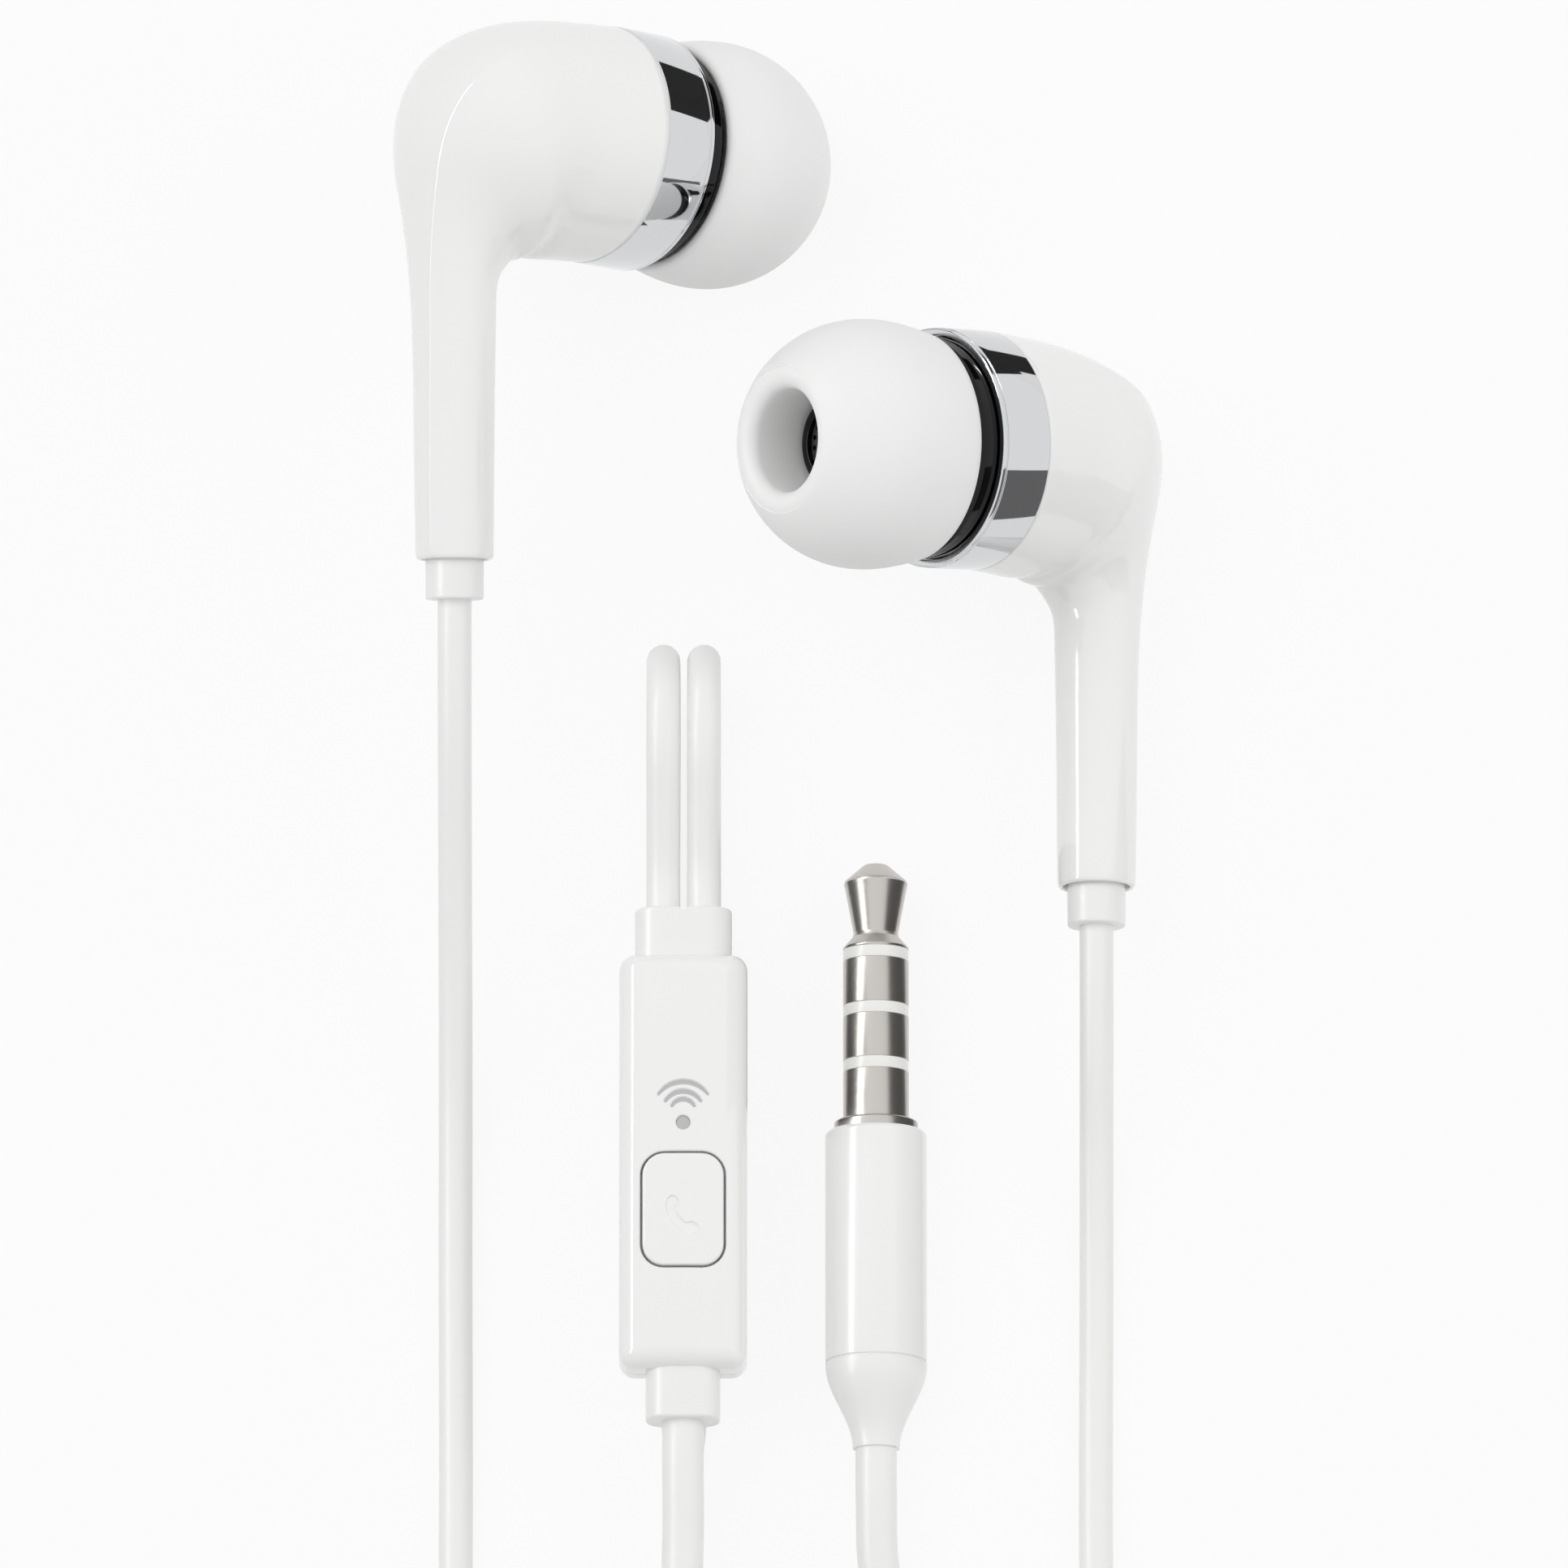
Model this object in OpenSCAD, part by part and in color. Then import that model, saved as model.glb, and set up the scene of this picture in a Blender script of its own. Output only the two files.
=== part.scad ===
// Wired in-ear earphones laid out on a table: two earbuds with pull-off silicone tips,
// a one-button microphone remote where the two branch cords join, and a four-pole jack plug.
// Millimetres. X runs to the right, Y away from the plug end, Z up from the table.

/* [Ear tips] */
// Largest diameter of the silicone ear tip
tip_d = 13.3; // [13:0.1:13.6]
// Diameter of the tip's sound bore
tip_bore_d = 5.5; // [5.4:0.05:5.6]
// Length of the tip from skirt edge to front
tip_len = 9; // [8.6:0.1:9.2]

/* [Earbud head] */
// Outer diameter of the metal trim ring, where the housing meets it
ring_d = 12.8; // [12.6:0.1:13]
// Visible width of the trim ring
ring_w = 3; // [2.9:0.05:3.1]
// Width of the dark gap between trim ring and ear tip
gap_w = 1.15; // [1.05:0.05:1.25]
// Outer diameter of the sound nozzle's neck
nozzle_d = 4.4; // [4.2:0.1:4.6]

/* [Earbud stem] */
// Diameter of the stem at its open end
stem_d = 4.2; // [4:0.05:4.3]
// Diameter of the soft collar at the end of the stem
collar_d = 3.1; // [3:0.05:3.2]
// Length of the collar outside the stem
collar_len = 2.1; // [1.8:0.1:2.4]

/* [Remote] */
// Width of the remote's housing
remote_w = 6.8; // [6.6:0.1:7.2]
// Length of the remote's housing
remote_len = 22.4; // [22:0.2:24]
// Thickness of the remote's housing
remote_t = 4.8; // [4.8:0.1:5.2]
// Width of the button cap
button_w = 4.3; // [4:0.1:4.4]
// Length of the button cap
button_len = 6.05; // [5.8:0.05:6.2]
// Travel of the button before the switch bottoms
button_travel = 0.25; // [0.15:0.05:0.25]

/* [Plug] */
// Diameter of the plug's contact barrel
jack_d = 3.5; // [3.5]
// Length of the contact barrel from flange to tip
jack_len = 14; // [14:0.1:14.5]
// Diameter of the plug's moulded grip
grip_d = 5.4; // [5.2:0.1:6]
// Length of the moulded grip
grip_len = 12.5; // [11:0.5:15]

/* [Cords] */
// Diameter of each branch cord
branch_d = 1.8; // [1.6:0.05:1.8]
// Diameter of the main cord
main_d = 2.2; // [2:0.05:2.2]
// Whole turns in each of the main coil's two layers
coil_turns = 5; // [3:1:5]

/* [Hidden] */

$fn = 72;

// Placement of the pieces on the table
layout_shift = [0.29, -1.6, 0];
left_bud_at = [-17.5, 32.45, 16.2];
left_bud_pitch = 39;
left_bud_slope = 10;
right_bud_at = [16.65, 16.65, 5];
right_bud_pitch = 37.5;
right_bud_slope = 1;
remote_at = [-5.35, -22.16, 3.3];
plug_at = [4.9, -19.1, 2.75];

// Head: distances along the head axis, measured from the stem axis
head_axis_droop = 5.5;
head_axis_lift = 0.9;
seam_s = 8.85;
ring_front_s = seam_s + ring_w;
skirt_s = ring_front_s + gap_w;
cap_flange_s = ring_front_s - 0.25;
nozzle_base_s = skirt_s + 1.4;
nozzle_end_s = nozzle_base_s + 4.4;
tip_tube_s = nozzle_base_s - 0.1;
stem_end_y = -23.4;

// Radii used by several pieces of the head
ring_r = ring_d / 2;
cavity_r = 5.5;
spigot_r = 5.45;
driver_r = 4.85;
gap_r = 5.9;
screen_r = 1.85;
screen_t = 0.2;
screen_s = nozzle_end_s - 0.5;

// Driver, back to front: yoke and magnet, the gap between poles, and the diaphragm's rim
yoke_s = seam_s - 1.2;
yoke_r = 3.4;
yoke_t = 0.5;
magnet_r = 2.5;
magnet_t = 1;
magnet_s = yoke_s + yoke_t;
pole_s = magnet_s + magnet_t;
pole_end_s = pole_s + 0.45;
voice_coil_r = 2.65;
frame_t = 0.5;
rim_s = seam_s + 1.5;
film_t = 0.08;
roll_mid_r = 3.7;
dome_centre_s = rim_s - 4.02;
dome_r = 5.1;

// Rear housing: rows of outer edge x, y, inner edge x, y, half depth, depth centre,
// direction of the spine and how far the spine stands out, from the seam to the stem's end
housing_rows = [
    [9.42, 5.52, 8.19, -7.22, 6.40, 0.90, 44, 0],
    [6.20, 5.64, 6.20, -7.15, 6.30, 0.50, 42, 0],
    [3.41, 5.48, 5.00, -7.15, 6.16, 0.28, 40, 0.02],
    [1.00, 4.83, 4.15, -6.96, 6.02, 0.30, 38, 0.07],
    [-0.90, 3.71, 3.74, -7.23, 5.80, 0.32, 36.5, 0.12],
    [-2.21, 1.89, 3.43, -7.34, 5.12, 0.30, 33.5, 0.14],
    [-2.90, -0.16, 3.14, -7.37, 4.26, 0.20, 32, 0.14],
    [-3.03, -2.24, 2.91, -7.63, 3.50, 0.06, 32, 0.14],
    [-2.79, -4.51, 2.61, -8.03, 2.92, 0, 29, 0.13],
    [-2.58, -6.84, 2.19, -8.81, 2.50, 0, 24.5, 0.12],
    [-2.36, -9.61, 2.18, -10.59, 2.30, 0, 20, 0.11],
    [-2.24, -13.60, 2.15, -13.90, 2.19, 0, 18, 0.1],
    [-2.20, -18.50, 2.12, -18.50, 2.13, 0, 17, 0.1],
    [-stem_d / 2, -23, stem_d / 2, -23, stem_d / 2, 0, 16, 0.1]
];
housing_steps = 3;
housing_sides = 40;
spine_width = 12;
stem_rim_inset = 0.28;

// Remote housing: places along its length from its centre, heights from the table
shell_split_z = 2.2;
shell_corner_r = 0.85;
shell_edge_r = 1.1;
floor_t = 0.8;
roof_z = remote_t - 0.9;
end_wall = 1.3;
mic_y = 1.9;
mic_hole_r = 0.38;
mic_can_r = 1.05;
mic_can_h = 1;
board_z = 1.5;
board_t = 0.6;
board_w = 5;
board_len = remote_len - 2 * end_wall - 2.6;

// Button: its flange sits under the roof, and its post hangs over the switch
button_y = -2.8;
button_gap = 0.15;
button_corner_r = 1.15;
button_proud = 0.12;
button_crown_r = 30;
button_flange_t = 0.35;
button_flange_z = roof_z - button_flange_t - 0.05;
button_post_z = button_flange_z - 0.08;

// Grommets, and where the cords leave them
cord_exit_z = 2.4;
branch_spacing = 2.16;
grommet_len = 2.65;
top_grommet_w = 5.15;
bottom_grommet_w = 3.95;
grommet_t = 3.3;
grommet_corner_r = 1.3;
grommet_flange_t = 0.8;
neck_inset = 0.6;
flange_inset = 0.3;
notch = 0.6;

// Plug: contact boundaries from the flange towards the tip, and the moulded end
core_r = 0.9;
insulator_len = 0.62;
contact_ends = [2.65, 5.65, 8.70];
flange_r = 2.23;
flange_t = 0.55;
relief_len = 4.7;

// Main coil: both ends lie on its outside, one on each layer
coil_at = [-0.2, -77, 0];
coil_gap = 0.45;
coil_pitch = main_d + coil_gap;
coil_outer_r = 19.6;
coil_rings = 24;
coil_sides = 6;
cord_sides = 8;

// Branch coils: each lies on one half of the main coil, wound from the middle outwards
left_coil_at = [-10.9, -77.5, 5.85];
right_coil_at = [10.9, -77.5, 5.85];
branch_coil_r = 9.5;
branch_coil_turns = 1.5;
branch_coil_pitch = branch_d + 0.45;

// Cord routes on the table. Each branch runs from its bud to its coil, and from the coil
// back under the main cord and the remote, where it folds up into the remote's top end.
left_branch_route = [
    [-17.5, 4.9, 11.34], [-17.5, 0.5, 10], [-17.5, -6, 6.9], [-17.5, -12.5, 3.8],
    [-17.5, -18.5, 1.7], [-17.5, -24.5, 0.9], [-17.5, -47.5, 0.9], [-17.8, -52, 1.3],
    [-18.4, -56.5, 3.1], [-19.4, -61.5, 5.5], [-20.1, -67, 7.6], [-20.4, -72.5, 9.22]
];
right_branch_route = [
    [16.65, -11.4, 4.51], [16.65, -15.5, 3.7], [16.65, -20.5, 2], [16.65, -26, 0.9],
    [16.65, -47.5, 0.9], [17, -52, 1.3], [18, -56.5, 3.1], [19.2, -61.5, 5.5],
    [20, -67, 7.6], [20.4, -72.5, 9.22]
];
left_lead_route = [
    [-6.43, -6.2, 5.7], [-6.43, -2.9, 6.8], [-6.43, 0, 7.9], [-6.43, 2, 8.1],
    [-6.43, 3.8, 7.6], [-6.43, 5.1, 6.3], [-6.43, 5.6, 4.5], [-6.43, 5.1, 2.7],
    [-6.43, 3.8, 1.4], [-6.43, 2, 0.9], [-6.43, -10, 0.9], [-6.27, -20, 0.9],
    [-6.27, -27.4, 0.9], [-6.2, -29.4, 1.65], [-6.1, -31.4, 2.05], [-5.97, -33.4, 2.3],
    [-5.72, -35, 2.6], [-5.45, -36.8, 2.78], [-5.35, -38.9, 2.8], [-5.35, -45, 2.8],
    [-5, -49, 3.1], [-3.9, -53.2, 4.4], [-2.6, -57.2, 5.7], [-1.8, -61.5, 5.95],
    [-1.4, -67, 5.85], [-1.4, -72, 5.85]
];
right_lead_route = [
    [-4.27, -6.2, 5.7], [-4.27, -2.9, 6.8], [-4.27, 0, 7.9], [-4.27, 2, 8.1],
    [-4.27, 3.8, 7.6], [-4.27, 5.1, 6.3], [-4.27, 5.6, 4.5], [-4.27, 5.1, 2.7],
    [-4.27, 3.8, 1.4], [-4.27, 2, 0.9], [-4.27, -10, 0.9], [-4.43, -20, 0.9],
    [-4.43, -27.4, 0.9], [-4.6, -31.4, 0.9], [-4.98, -35, 0.9], [-5.35, -38.9, 0.9],
    [-5.35, -45, 0.9], [-4.4, -48.6, 1], [-2, -52, 2], [0, -55, 3.9],
    [1.1, -58.5, 5.6], [1.4, -63, 5.95], [1.4, -68, 5.85], [1.4, -72, 5.85]
];
remote_lead_route = [
    [-5.35, -38.6, 5.7], [-5.35, -42.4, 5.2], [-5.6, -45.6, 4.95], [-7.4, -49.5, 4.3],
    [-10.6, -53.6, 3], [-14.2, -58, 1.7], [-17.4, -62.6, 1.15], [-19.4, -67.8, 1.1],
    [-19.8, -72.3, 1.1]
];
plug_lead_route = [
    [19.4, -72.2, 3.75], [19.2, -68, 3.3], [17.6, -63.4, 2.2], [14.4, -58.6, 1.3],
    [10.2, -54, 1.1], [6.8, -49, 1.2], [5.1, -43.6, 2.1], [4.9, -39.6, 2.75]
];

// ---------- Shared shapes ----------

function arc(centre, r, from, to, steps) =
    [for (i = [0:steps]) let (a = from + (to - from) * i / steps)
        centre + r * [cos(a), sin(a)]];

function spline(rows, i, t) =
    let (last = len(rows) - 1,
         a = rows[max(i - 1, 0)],
         b = rows[i],
         c = rows[min(i + 1, last)],
         d = rows[min(i + 2, last)])
    0.5 * (2 * b + (c - a) * t + (2 * a - 5 * b + 4 * c - d) * t * t
        + (3 * b - a - 3 * c + d) * t * t * t);

function refined(rows, steps) =
    [for (i = [0:len(rows) - 2]) for (k = [0:steps - 1]) spline(rows, i, k / steps),
        rows[len(rows) - 1]];

// Closed skin over rings that all have the same number of points and turn about the way back
module skin(rings) {
    n = len(rings[0]);
    last = len(rings) - 1;
    walls = [for (i = [0:last - 1]) for (j = [0:n - 1])
        let (a = i * n + j, b = i * n + (j + 1) % n)
        each [[a, b, a + n], [b, b + n, a + n]]];
    first_cap = [for (j = [1:n - 2]) [0, j + 1, j]];
    last_cap = [for (j = [1:n - 2]) [last * n, last * n + j, last * n + j + 1]];
    polyhedron([for (ring = rings) each ring], concat(first_cap, walls, last_cap));
}

function unit(v) = v / norm(v);

// Ring of a tube at route point i, square to the route there. The reference is a direction
// that the route never takes.
function tube_ring(route, i, r, sides, reference) =
    let (last = len(route) - 1,
         along = unit(route[min(i + 1, last)] - route[max(i - 1, 0)]),
         across = unit(cross(along, reference)),
         up = cross(across, along))
    [for (j = [0:sides - 1]) let (a = 360 * (j + 0.5) / sides)
        route[i] + r * (cos(a) * across + sin(a) * up)];

module tube(route, d, sides, reference)
    skin([for (i = [0:len(route) - 1]) tube_ring(route, i, d / 2, sides, reference)]);

// Flat outline with round corners
module round_rect(w, h, r) {
    square([w - 2 * r, h], center = true);
    square([w, h - 2 * r], center = true);
    for (x = [-1, 1], y = [-1, 1])
        translate([x * (w / 2 - r), y * (h / 2 - r)]) circle(r);
}

// Block rounded on its plan corners and along its long edges, standing on z = 0
module soft_block(w, len, t, plan_r, edge_r)
    intersection() {
        linear_extrude(t) round_rect(w, len, plan_r);
        translate([0, len / 2, t / 2]) rotate([90, 0, 0])
            linear_extrude(len) round_rect(w, t, edge_r);
        translate([-w / 2, 0, t / 2]) rotate([90, 0, 90])
            linear_extrude(w) round_rect(len, t, edge_r);
    }

module box(w, len, low, high)
    translate([-w / 2, -len / 2, low]) cube([w, len, high - low]);

// ---------- Frames of reference ----------

module in_layout() translate(layout_shift) children();

module left_bud()
    in_layout() translate(left_bud_at) rotate([left_bud_slope, 0, 0])
        rotate([0, left_bud_pitch, 0]) children();

module right_bud()
    in_layout() translate(right_bud_at) rotate([right_bud_slope, 0, 0])
        rotate([0, right_bud_pitch, 0]) mirror([1, 0, 0]) children();

module in_remote() in_layout() translate(remote_at) children();

// Z along the plug towards its tip, from the flange
module in_plug() in_layout() translate(plug_at) rotate([-90, 0, 0]) children();

// Z along the head axis towards the ear, from the stem axis
module on_head_axis()
    translate([0, 0, head_axis_lift]) rotate([0, 0, -head_axis_droop])
        rotate([0, 90, 0]) children();

// Profile of radius and distance turned about the head axis
module turned(profile) on_head_axis() rotate_extrude() polygon(profile);

// The collar's end lies on the stem axis, so only the bud's slope moves it
function collar_end(slope) = (stem_end_y - collar_len) * [0, cos(slope), sin(slope)];
left_cord_start = left_bud_at + collar_end(left_bud_slope);
right_cord_start = right_bud_at + collar_end(right_bud_slope);

// ---------- Earbud pieces ----------

function housing_ring(row) =
    let (outer = [row[0], row[1]],
         inner = [row[2], row[3]],
         mid = (outer + inner) / 2,
         half = norm(outer - inner) / 2,
         out = unit(outer - inner))
    [for (j = [0:housing_sides - 1])
        let (a = 360 * j / housing_sides,
             spine = row[7] * exp(-pow((a - row[6]) / spine_width, 2)),
             reach = (half + spine) * cos(a))
        [mid[0] + out[0] * reach, mid[1] + out[1] * reach, row[5] + (row[4] + spine) * sin(a)]];

// The stem's last rim turns in to its open end
function stem_rim(drop, inset) =
    [-stem_d / 2 + inset, stem_end_y + drop, stem_d / 2 - inset, stem_end_y + drop,
        stem_d / 2 - inset, 0, 16, 0.06];

module housing_skin()
    skin([for (row = concat(refined(housing_rows, housing_steps),
            [stem_rim(0.14, stem_rim_inset * 0.3), stem_rim(0, stem_rim_inset)]))
        housing_ring(row)]);

module rear_housing()
    color("white")
    difference() {
        housing_skin();
        turned([[0, -0.8], [1.2, -0.8], [1.2, 2.2], [3.4, 2.2], [4.4, 3.2], [cavity_r, 5.2],
            [cavity_r, seam_s + 1], [0, seam_s + 1]]);
        translate([0, stem_end_y - 1, 0]) rotate([-90, 0, 0]) {
            cylinder(r = collar_d / 2 + 0.2, h = 1.45);
            cylinder(r = collar_d / 2, h = 5);
        }
        translate([0, stem_end_y + 3.9, 0.6]) rotate([-90, 0, 0])
            cylinder(r = 0.8, h = -stem_end_y - 3.4);
    }

module trim_ring()
    color("silver")
    turned([[5.6, seam_s], [ring_r - 0.05, seam_s], [ring_r, seam_s + 0.05],
        [ring_r, ring_front_s - 0.3], [ring_r - 0.08, ring_front_s - 0.3],
        [ring_r - 0.08, ring_front_s - 0.22], [ring_r - 0.02, ring_front_s - 0.2],
        [ring_r - 0.05, ring_front_s - 0.04], [ring_r - 0.12, ring_front_s],
        [gap_r + 0.1, ring_front_s], [gap_r + 0.1, cap_flange_s], [5.6, cap_flange_s]]);

module front_housing()
    color("black")
    turned(concat(
        [[spigot_r, seam_s - 1.5], [spigot_r, cap_flange_s], [gap_r, cap_flange_s],
            [gap_r, skirt_s - 0.4], [gap_r - 0.35, skirt_s]],
        [[3.1, nozzle_base_s - 0.35], [nozzle_d / 2 + 0.3, nozzle_base_s - 0.3],
            [nozzle_d / 2 + 0.3, nozzle_base_s], [nozzle_d / 2, nozzle_base_s + 0.05],
            [nozzle_d / 2, nozzle_end_s - 1.3], [nozzle_d / 2 + 0.42, nozzle_end_s - 0.9],
            [nozzle_d / 2 + 0.42, nozzle_end_s - 0.6], [nozzle_d / 2 + 0.1, nozzle_end_s],
            [screen_r, nozzle_end_s], [screen_r, screen_s], [screen_r - 0.25, screen_s],
            [screen_r - 0.25, nozzle_base_s - 0.6], [driver_r, skirt_s - 0.6],
            [driver_r, seam_s - 1.5]]));

// Screen in the mouth of the nozzle, with three rings of holes
module nozzle_mesh()
    color("dimgray")
    on_head_axis() translate([0, 0, screen_s]) difference() {
        cylinder(r = screen_r, h = screen_t);
        for (ring = [[6, 0.6], [12, 1.15], [18, 1.6]])
            for (i = [0:ring[0] - 1])
                rotate([0, 0, 360 * i / ring[0]]) translate([ring[1], 0, -screen_t])
                    cylinder(r = 0.14, h = 3 * screen_t, $fn = 16);
    }

// Basket round the yoke, with vents in its floor
module driver_frame()
    color("gainsboro")
    difference() {
        turned([[yoke_r, yoke_s + 0.1], [driver_r, yoke_s + 0.1], [driver_r, rim_s],
            [driver_r - 0.55, rim_s], [driver_r - 0.55, yoke_s + 0.1 + frame_t],
            [yoke_r, yoke_s + 0.1 + frame_t]]);
        on_head_axis() for (i = [0:5])
            rotate([0, 0, 60 * i]) translate([(yoke_r + driver_r - 0.55) / 2, 0, yoke_s])
                cylinder(r = 0.25, h = 2 * frame_t, $fn = 24);
    }

module yoke()
    color("slategray")
    turned([[0, yoke_s], [yoke_r, yoke_s], [yoke_r, pole_end_s], [yoke_r - 0.3, pole_end_s],
        [yoke_r - 0.3, magnet_s], [0, magnet_s]]);

module magnet()
    color("darkslategray")
    on_head_axis() translate([0, 0, magnet_s]) cylinder(r = magnet_r, h = magnet_t);

module pole_piece()
    color("lightslategray")
    turned([[0, pole_s], [magnet_r, pole_s], [magnet_r, pole_end_s - 0.1],
        [magnet_r - 0.1, pole_end_s], [0, pole_end_s]]);

module voice_coil()
    color("peru")
    turned([[voice_coil_r, magnet_s + 0.5], [voice_coil_r + 0.3, magnet_s + 0.5],
        [voice_coil_r + 0.3, rim_s], [voice_coil_r, rim_s]]);

// Thin film: a centre dome, a rolled surround and a flat rim glued to the frame
module diaphragm()
    color("lightyellow")
    turned(concat(
        [[driver_r - 0.05, rim_s], [driver_r - 0.05, rim_s + film_t], [4.4, rim_s + film_t]],
        arc([roll_mid_r, rim_s + film_t], 0.68, 0, 180, 8),
        arc([0, dome_centre_s], dome_r, 53.8, 90, 6),
        arc([0, dome_centre_s], dome_r - film_t, 90, 53.2, 6),
        arc([roll_mid_r, rim_s], 0.6, 180, 0, 8)));

// Soft sleeve that seals the stem around the cord
module stem_collar()
    color("whitesmoke")
    translate([0, stem_end_y - collar_len, 0]) rotate([-90, 0, 0])
        rotate_extrude() polygon([[0, 0], [collar_d / 2 - 0.15, 0], [collar_d / 2, 0.15],
            [collar_d / 2, collar_len - 0.1], [collar_d / 2 - 0.02, collar_len],
            [collar_d / 2 - 0.02, collar_len + 3.6], [0, collar_len + 3.6]]);

// Mushroom tip: skirt, dome and rolled mouth outside, a straight tube inside
module ear_tip() {
    wide = tip_d / 2;
    wide_s = skirt_s + 3.3;
    reach = tip_len - 2.3;
    lip_r = 0.7;
    bore = tip_bore_d / 2;
    lip = [bore + lip_r, skirt_s + tip_len - lip_r];
    wall = 0.6;
    color("white")
    turned(concat(
        [[wide - 0.98, skirt_s + 0.12], [wide - 0.8, skirt_s]],
        [for (i = [0:5]) [wide - 0.5 + 0.5 * sin(18 * i), skirt_s + 0.15 + 3.15 * i / 5]],
        [for (i = [1:9]) [wide * cos(6 * i), wide_s + (reach - 0.25) * sin(6 * i)]],
        arc(lip, lip_r, 50, 180, 8),
        [[bore, tip_tube_s], [bore + 0.75, tip_tube_s], [bore + 0.75, wide_s + 0.47 * reach]],
        [for (i = [8:-1:0])
            [(wide - wall) * cos(5.8 * i), wide_s + 0.8 * reach * sin(5.8 * i)]]));
}

// ---------- Remote pieces ----------

module remote_shape() soft_block(remote_w, remote_len, remote_t, shell_corner_r, shell_edge_r);

module grommet_outline(w, inset)
    translate([0, cord_exit_z])
        round_rect(w - 2 * inset, grommet_t - 2 * inset, grommet_corner_r - inset);

// A grommet stands outside the end wall, has a neck through it and a flange behind it
module grommet(w)
    rotate([90, 0, 0]) {
        translate([0, 0, -grommet_len]) linear_extrude(grommet_len) grommet_outline(w, 0);
        linear_extrude(end_wall) grommet_outline(w, neck_inset);
        translate([0, 0, end_wall]) linear_extrude(grommet_flange_t)
            grommet_outline(w, flange_inset);
    }

module grommet_seats()
    for (end = [[0, top_grommet_w], [180, bottom_grommet_w]])
        rotate([0, 0, end[0]]) translate([0, remote_len / 2, 0]) rotate([90, 0, 0])
            translate([0, 0, -1]) linear_extrude(end_wall + 2)
                grommet_outline(end[1], neck_inset);

module remote_back_shell()
    color("white")
    in_remote() difference() {
        intersection() {
            remote_shape();
            box(remote_w, remote_len, 0, shell_split_z);
        }
        box(board_w - 0.6, remote_len - 2 * end_wall, floor_t, remote_t);
        box(board_w + 0.2, remote_len - 2 * end_wall, board_z, remote_t);
        grommet_seats();
    }

module remote_front_shell()
    color("white")
    in_remote() difference() {
        intersection() {
            remote_shape();
            box(remote_w, remote_len, shell_split_z, remote_t);
        }
        box(board_w + 0.2, remote_len - 2 * end_wall, 0, roof_z);
        translate([0, button_y, 0]) linear_extrude(remote_t + 1)
            round_rect(button_w + 2 * button_gap, button_len + 2 * button_gap,
                button_corner_r + button_gap);
        translate([0, mic_y, 0]) cylinder(r = mic_hole_r, h = remote_t + 1);
        grommet_seats();
    }

module remote_circuit_board()
    color("seagreen")
    in_remote() difference() {
        box(board_w, board_len, board_z, board_z + board_t);
        for (y = [-1, 1])
            translate([0, y * (board_len / 2 - 1.4), 0]) cylinder(r = 0.5, h = board_z + 1);
    }

// Low tactile switch, its plunger just under the button's post
module remote_switch()
    color("dimgray")
    in_remote() translate([0, button_y, board_z + board_t]) {
        linear_extrude(0.8) round_rect(3, 3, 0.3);
        cylinder(r = 0.65, h = button_post_z - button_travel - 0.05 - board_z - board_t);
    }

module remote_microphone()
    color("goldenrod")
    in_remote() translate([0, mic_y, board_z + board_t]) {
        cylinder(r = mic_can_r, h = mic_can_h - 0.1);
        cylinder(r = mic_can_r - 0.25, h = mic_can_h);
    }

// Soft ring that ties the microphone to its hole and seals it off from the housing
module remote_mic_gasket()
    color("gray")
    in_remote() translate([0, mic_y, board_z + board_t + mic_can_h]) difference() {
        cylinder(r = mic_can_r, h = roof_z - board_z - board_t - mic_can_h);
        translate([0, 0, -1]) cylinder(r = mic_hole_r + 0.1, h = roof_z);
    }

// The notch marks where the two branch cords part
module remote_top_grommet()
    color("whitesmoke")
    in_remote() translate([0, remote_len / 2, 0]) difference() {
        grommet(top_grommet_w);
        translate([0, grommet_len, 0]) rotate([0, 0, 45])
            translate([-notch / 2, -notch / 2, 0]) cube([notch, notch, 2 * remote_t]);
    }

module remote_bottom_grommet()
    color("whitesmoke")
    in_remote() translate([0, -remote_len / 2, 0]) rotate([0, 0, 180]) grommet(bottom_grommet_w);

// Cap with a crowned face, a flange that keeps it in, and a post over the plunger
module button_cap()
    color("white")
    in_remote() translate([0, button_y, 0]) {
        intersection() {
            translate([0, 0, button_flange_z]) linear_extrude(remote_t)
                round_rect(button_w, button_len, button_corner_r);
            translate([0, button_len / 2, remote_t + button_proud - button_crown_r])
                rotate([90, 0, 0]) cylinder(r = button_crown_r, h = button_len, $fn = 240);
        }
        translate([0, 0, button_flange_z]) linear_extrude(button_flange_t)
            round_rect(button_w + 0.6, button_len + 0.6, button_corner_r);
        translate([0, 0, button_post_z]) cylinder(r = 0.9, h = button_flange_t);
    }

// ---------- Plug pieces ----------

// One band of the barrel, flush with its neighbours, on the tip's core
module contact(low, high)
    in_plug() rotate_extrude() polygon([[core_r, low], [jack_d / 2, low], [jack_d / 2, high],
        [core_r, high]]);

module plug_sleeve()
    color("silver") {
        contact(0, contact_ends[0]);
        in_plug() rotate_extrude() polygon([[core_r, -flange_t], [flange_r - 0.08, -flange_t],
            [flange_r, -flange_t + 0.08], [flange_r, -0.2], [flange_r - 0.2, 0], [core_r, 0]]);
    }

module plug_ring_lower()
    color("silver") contact(contact_ends[0] + insulator_len, contact_ends[1]);

module plug_ring_upper()
    color("silver") contact(contact_ends[1] + insulator_len, contact_ends[2]);

module plug_insulators()
    color("white") for (low = contact_ends) contact(low, low + insulator_len);

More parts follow.
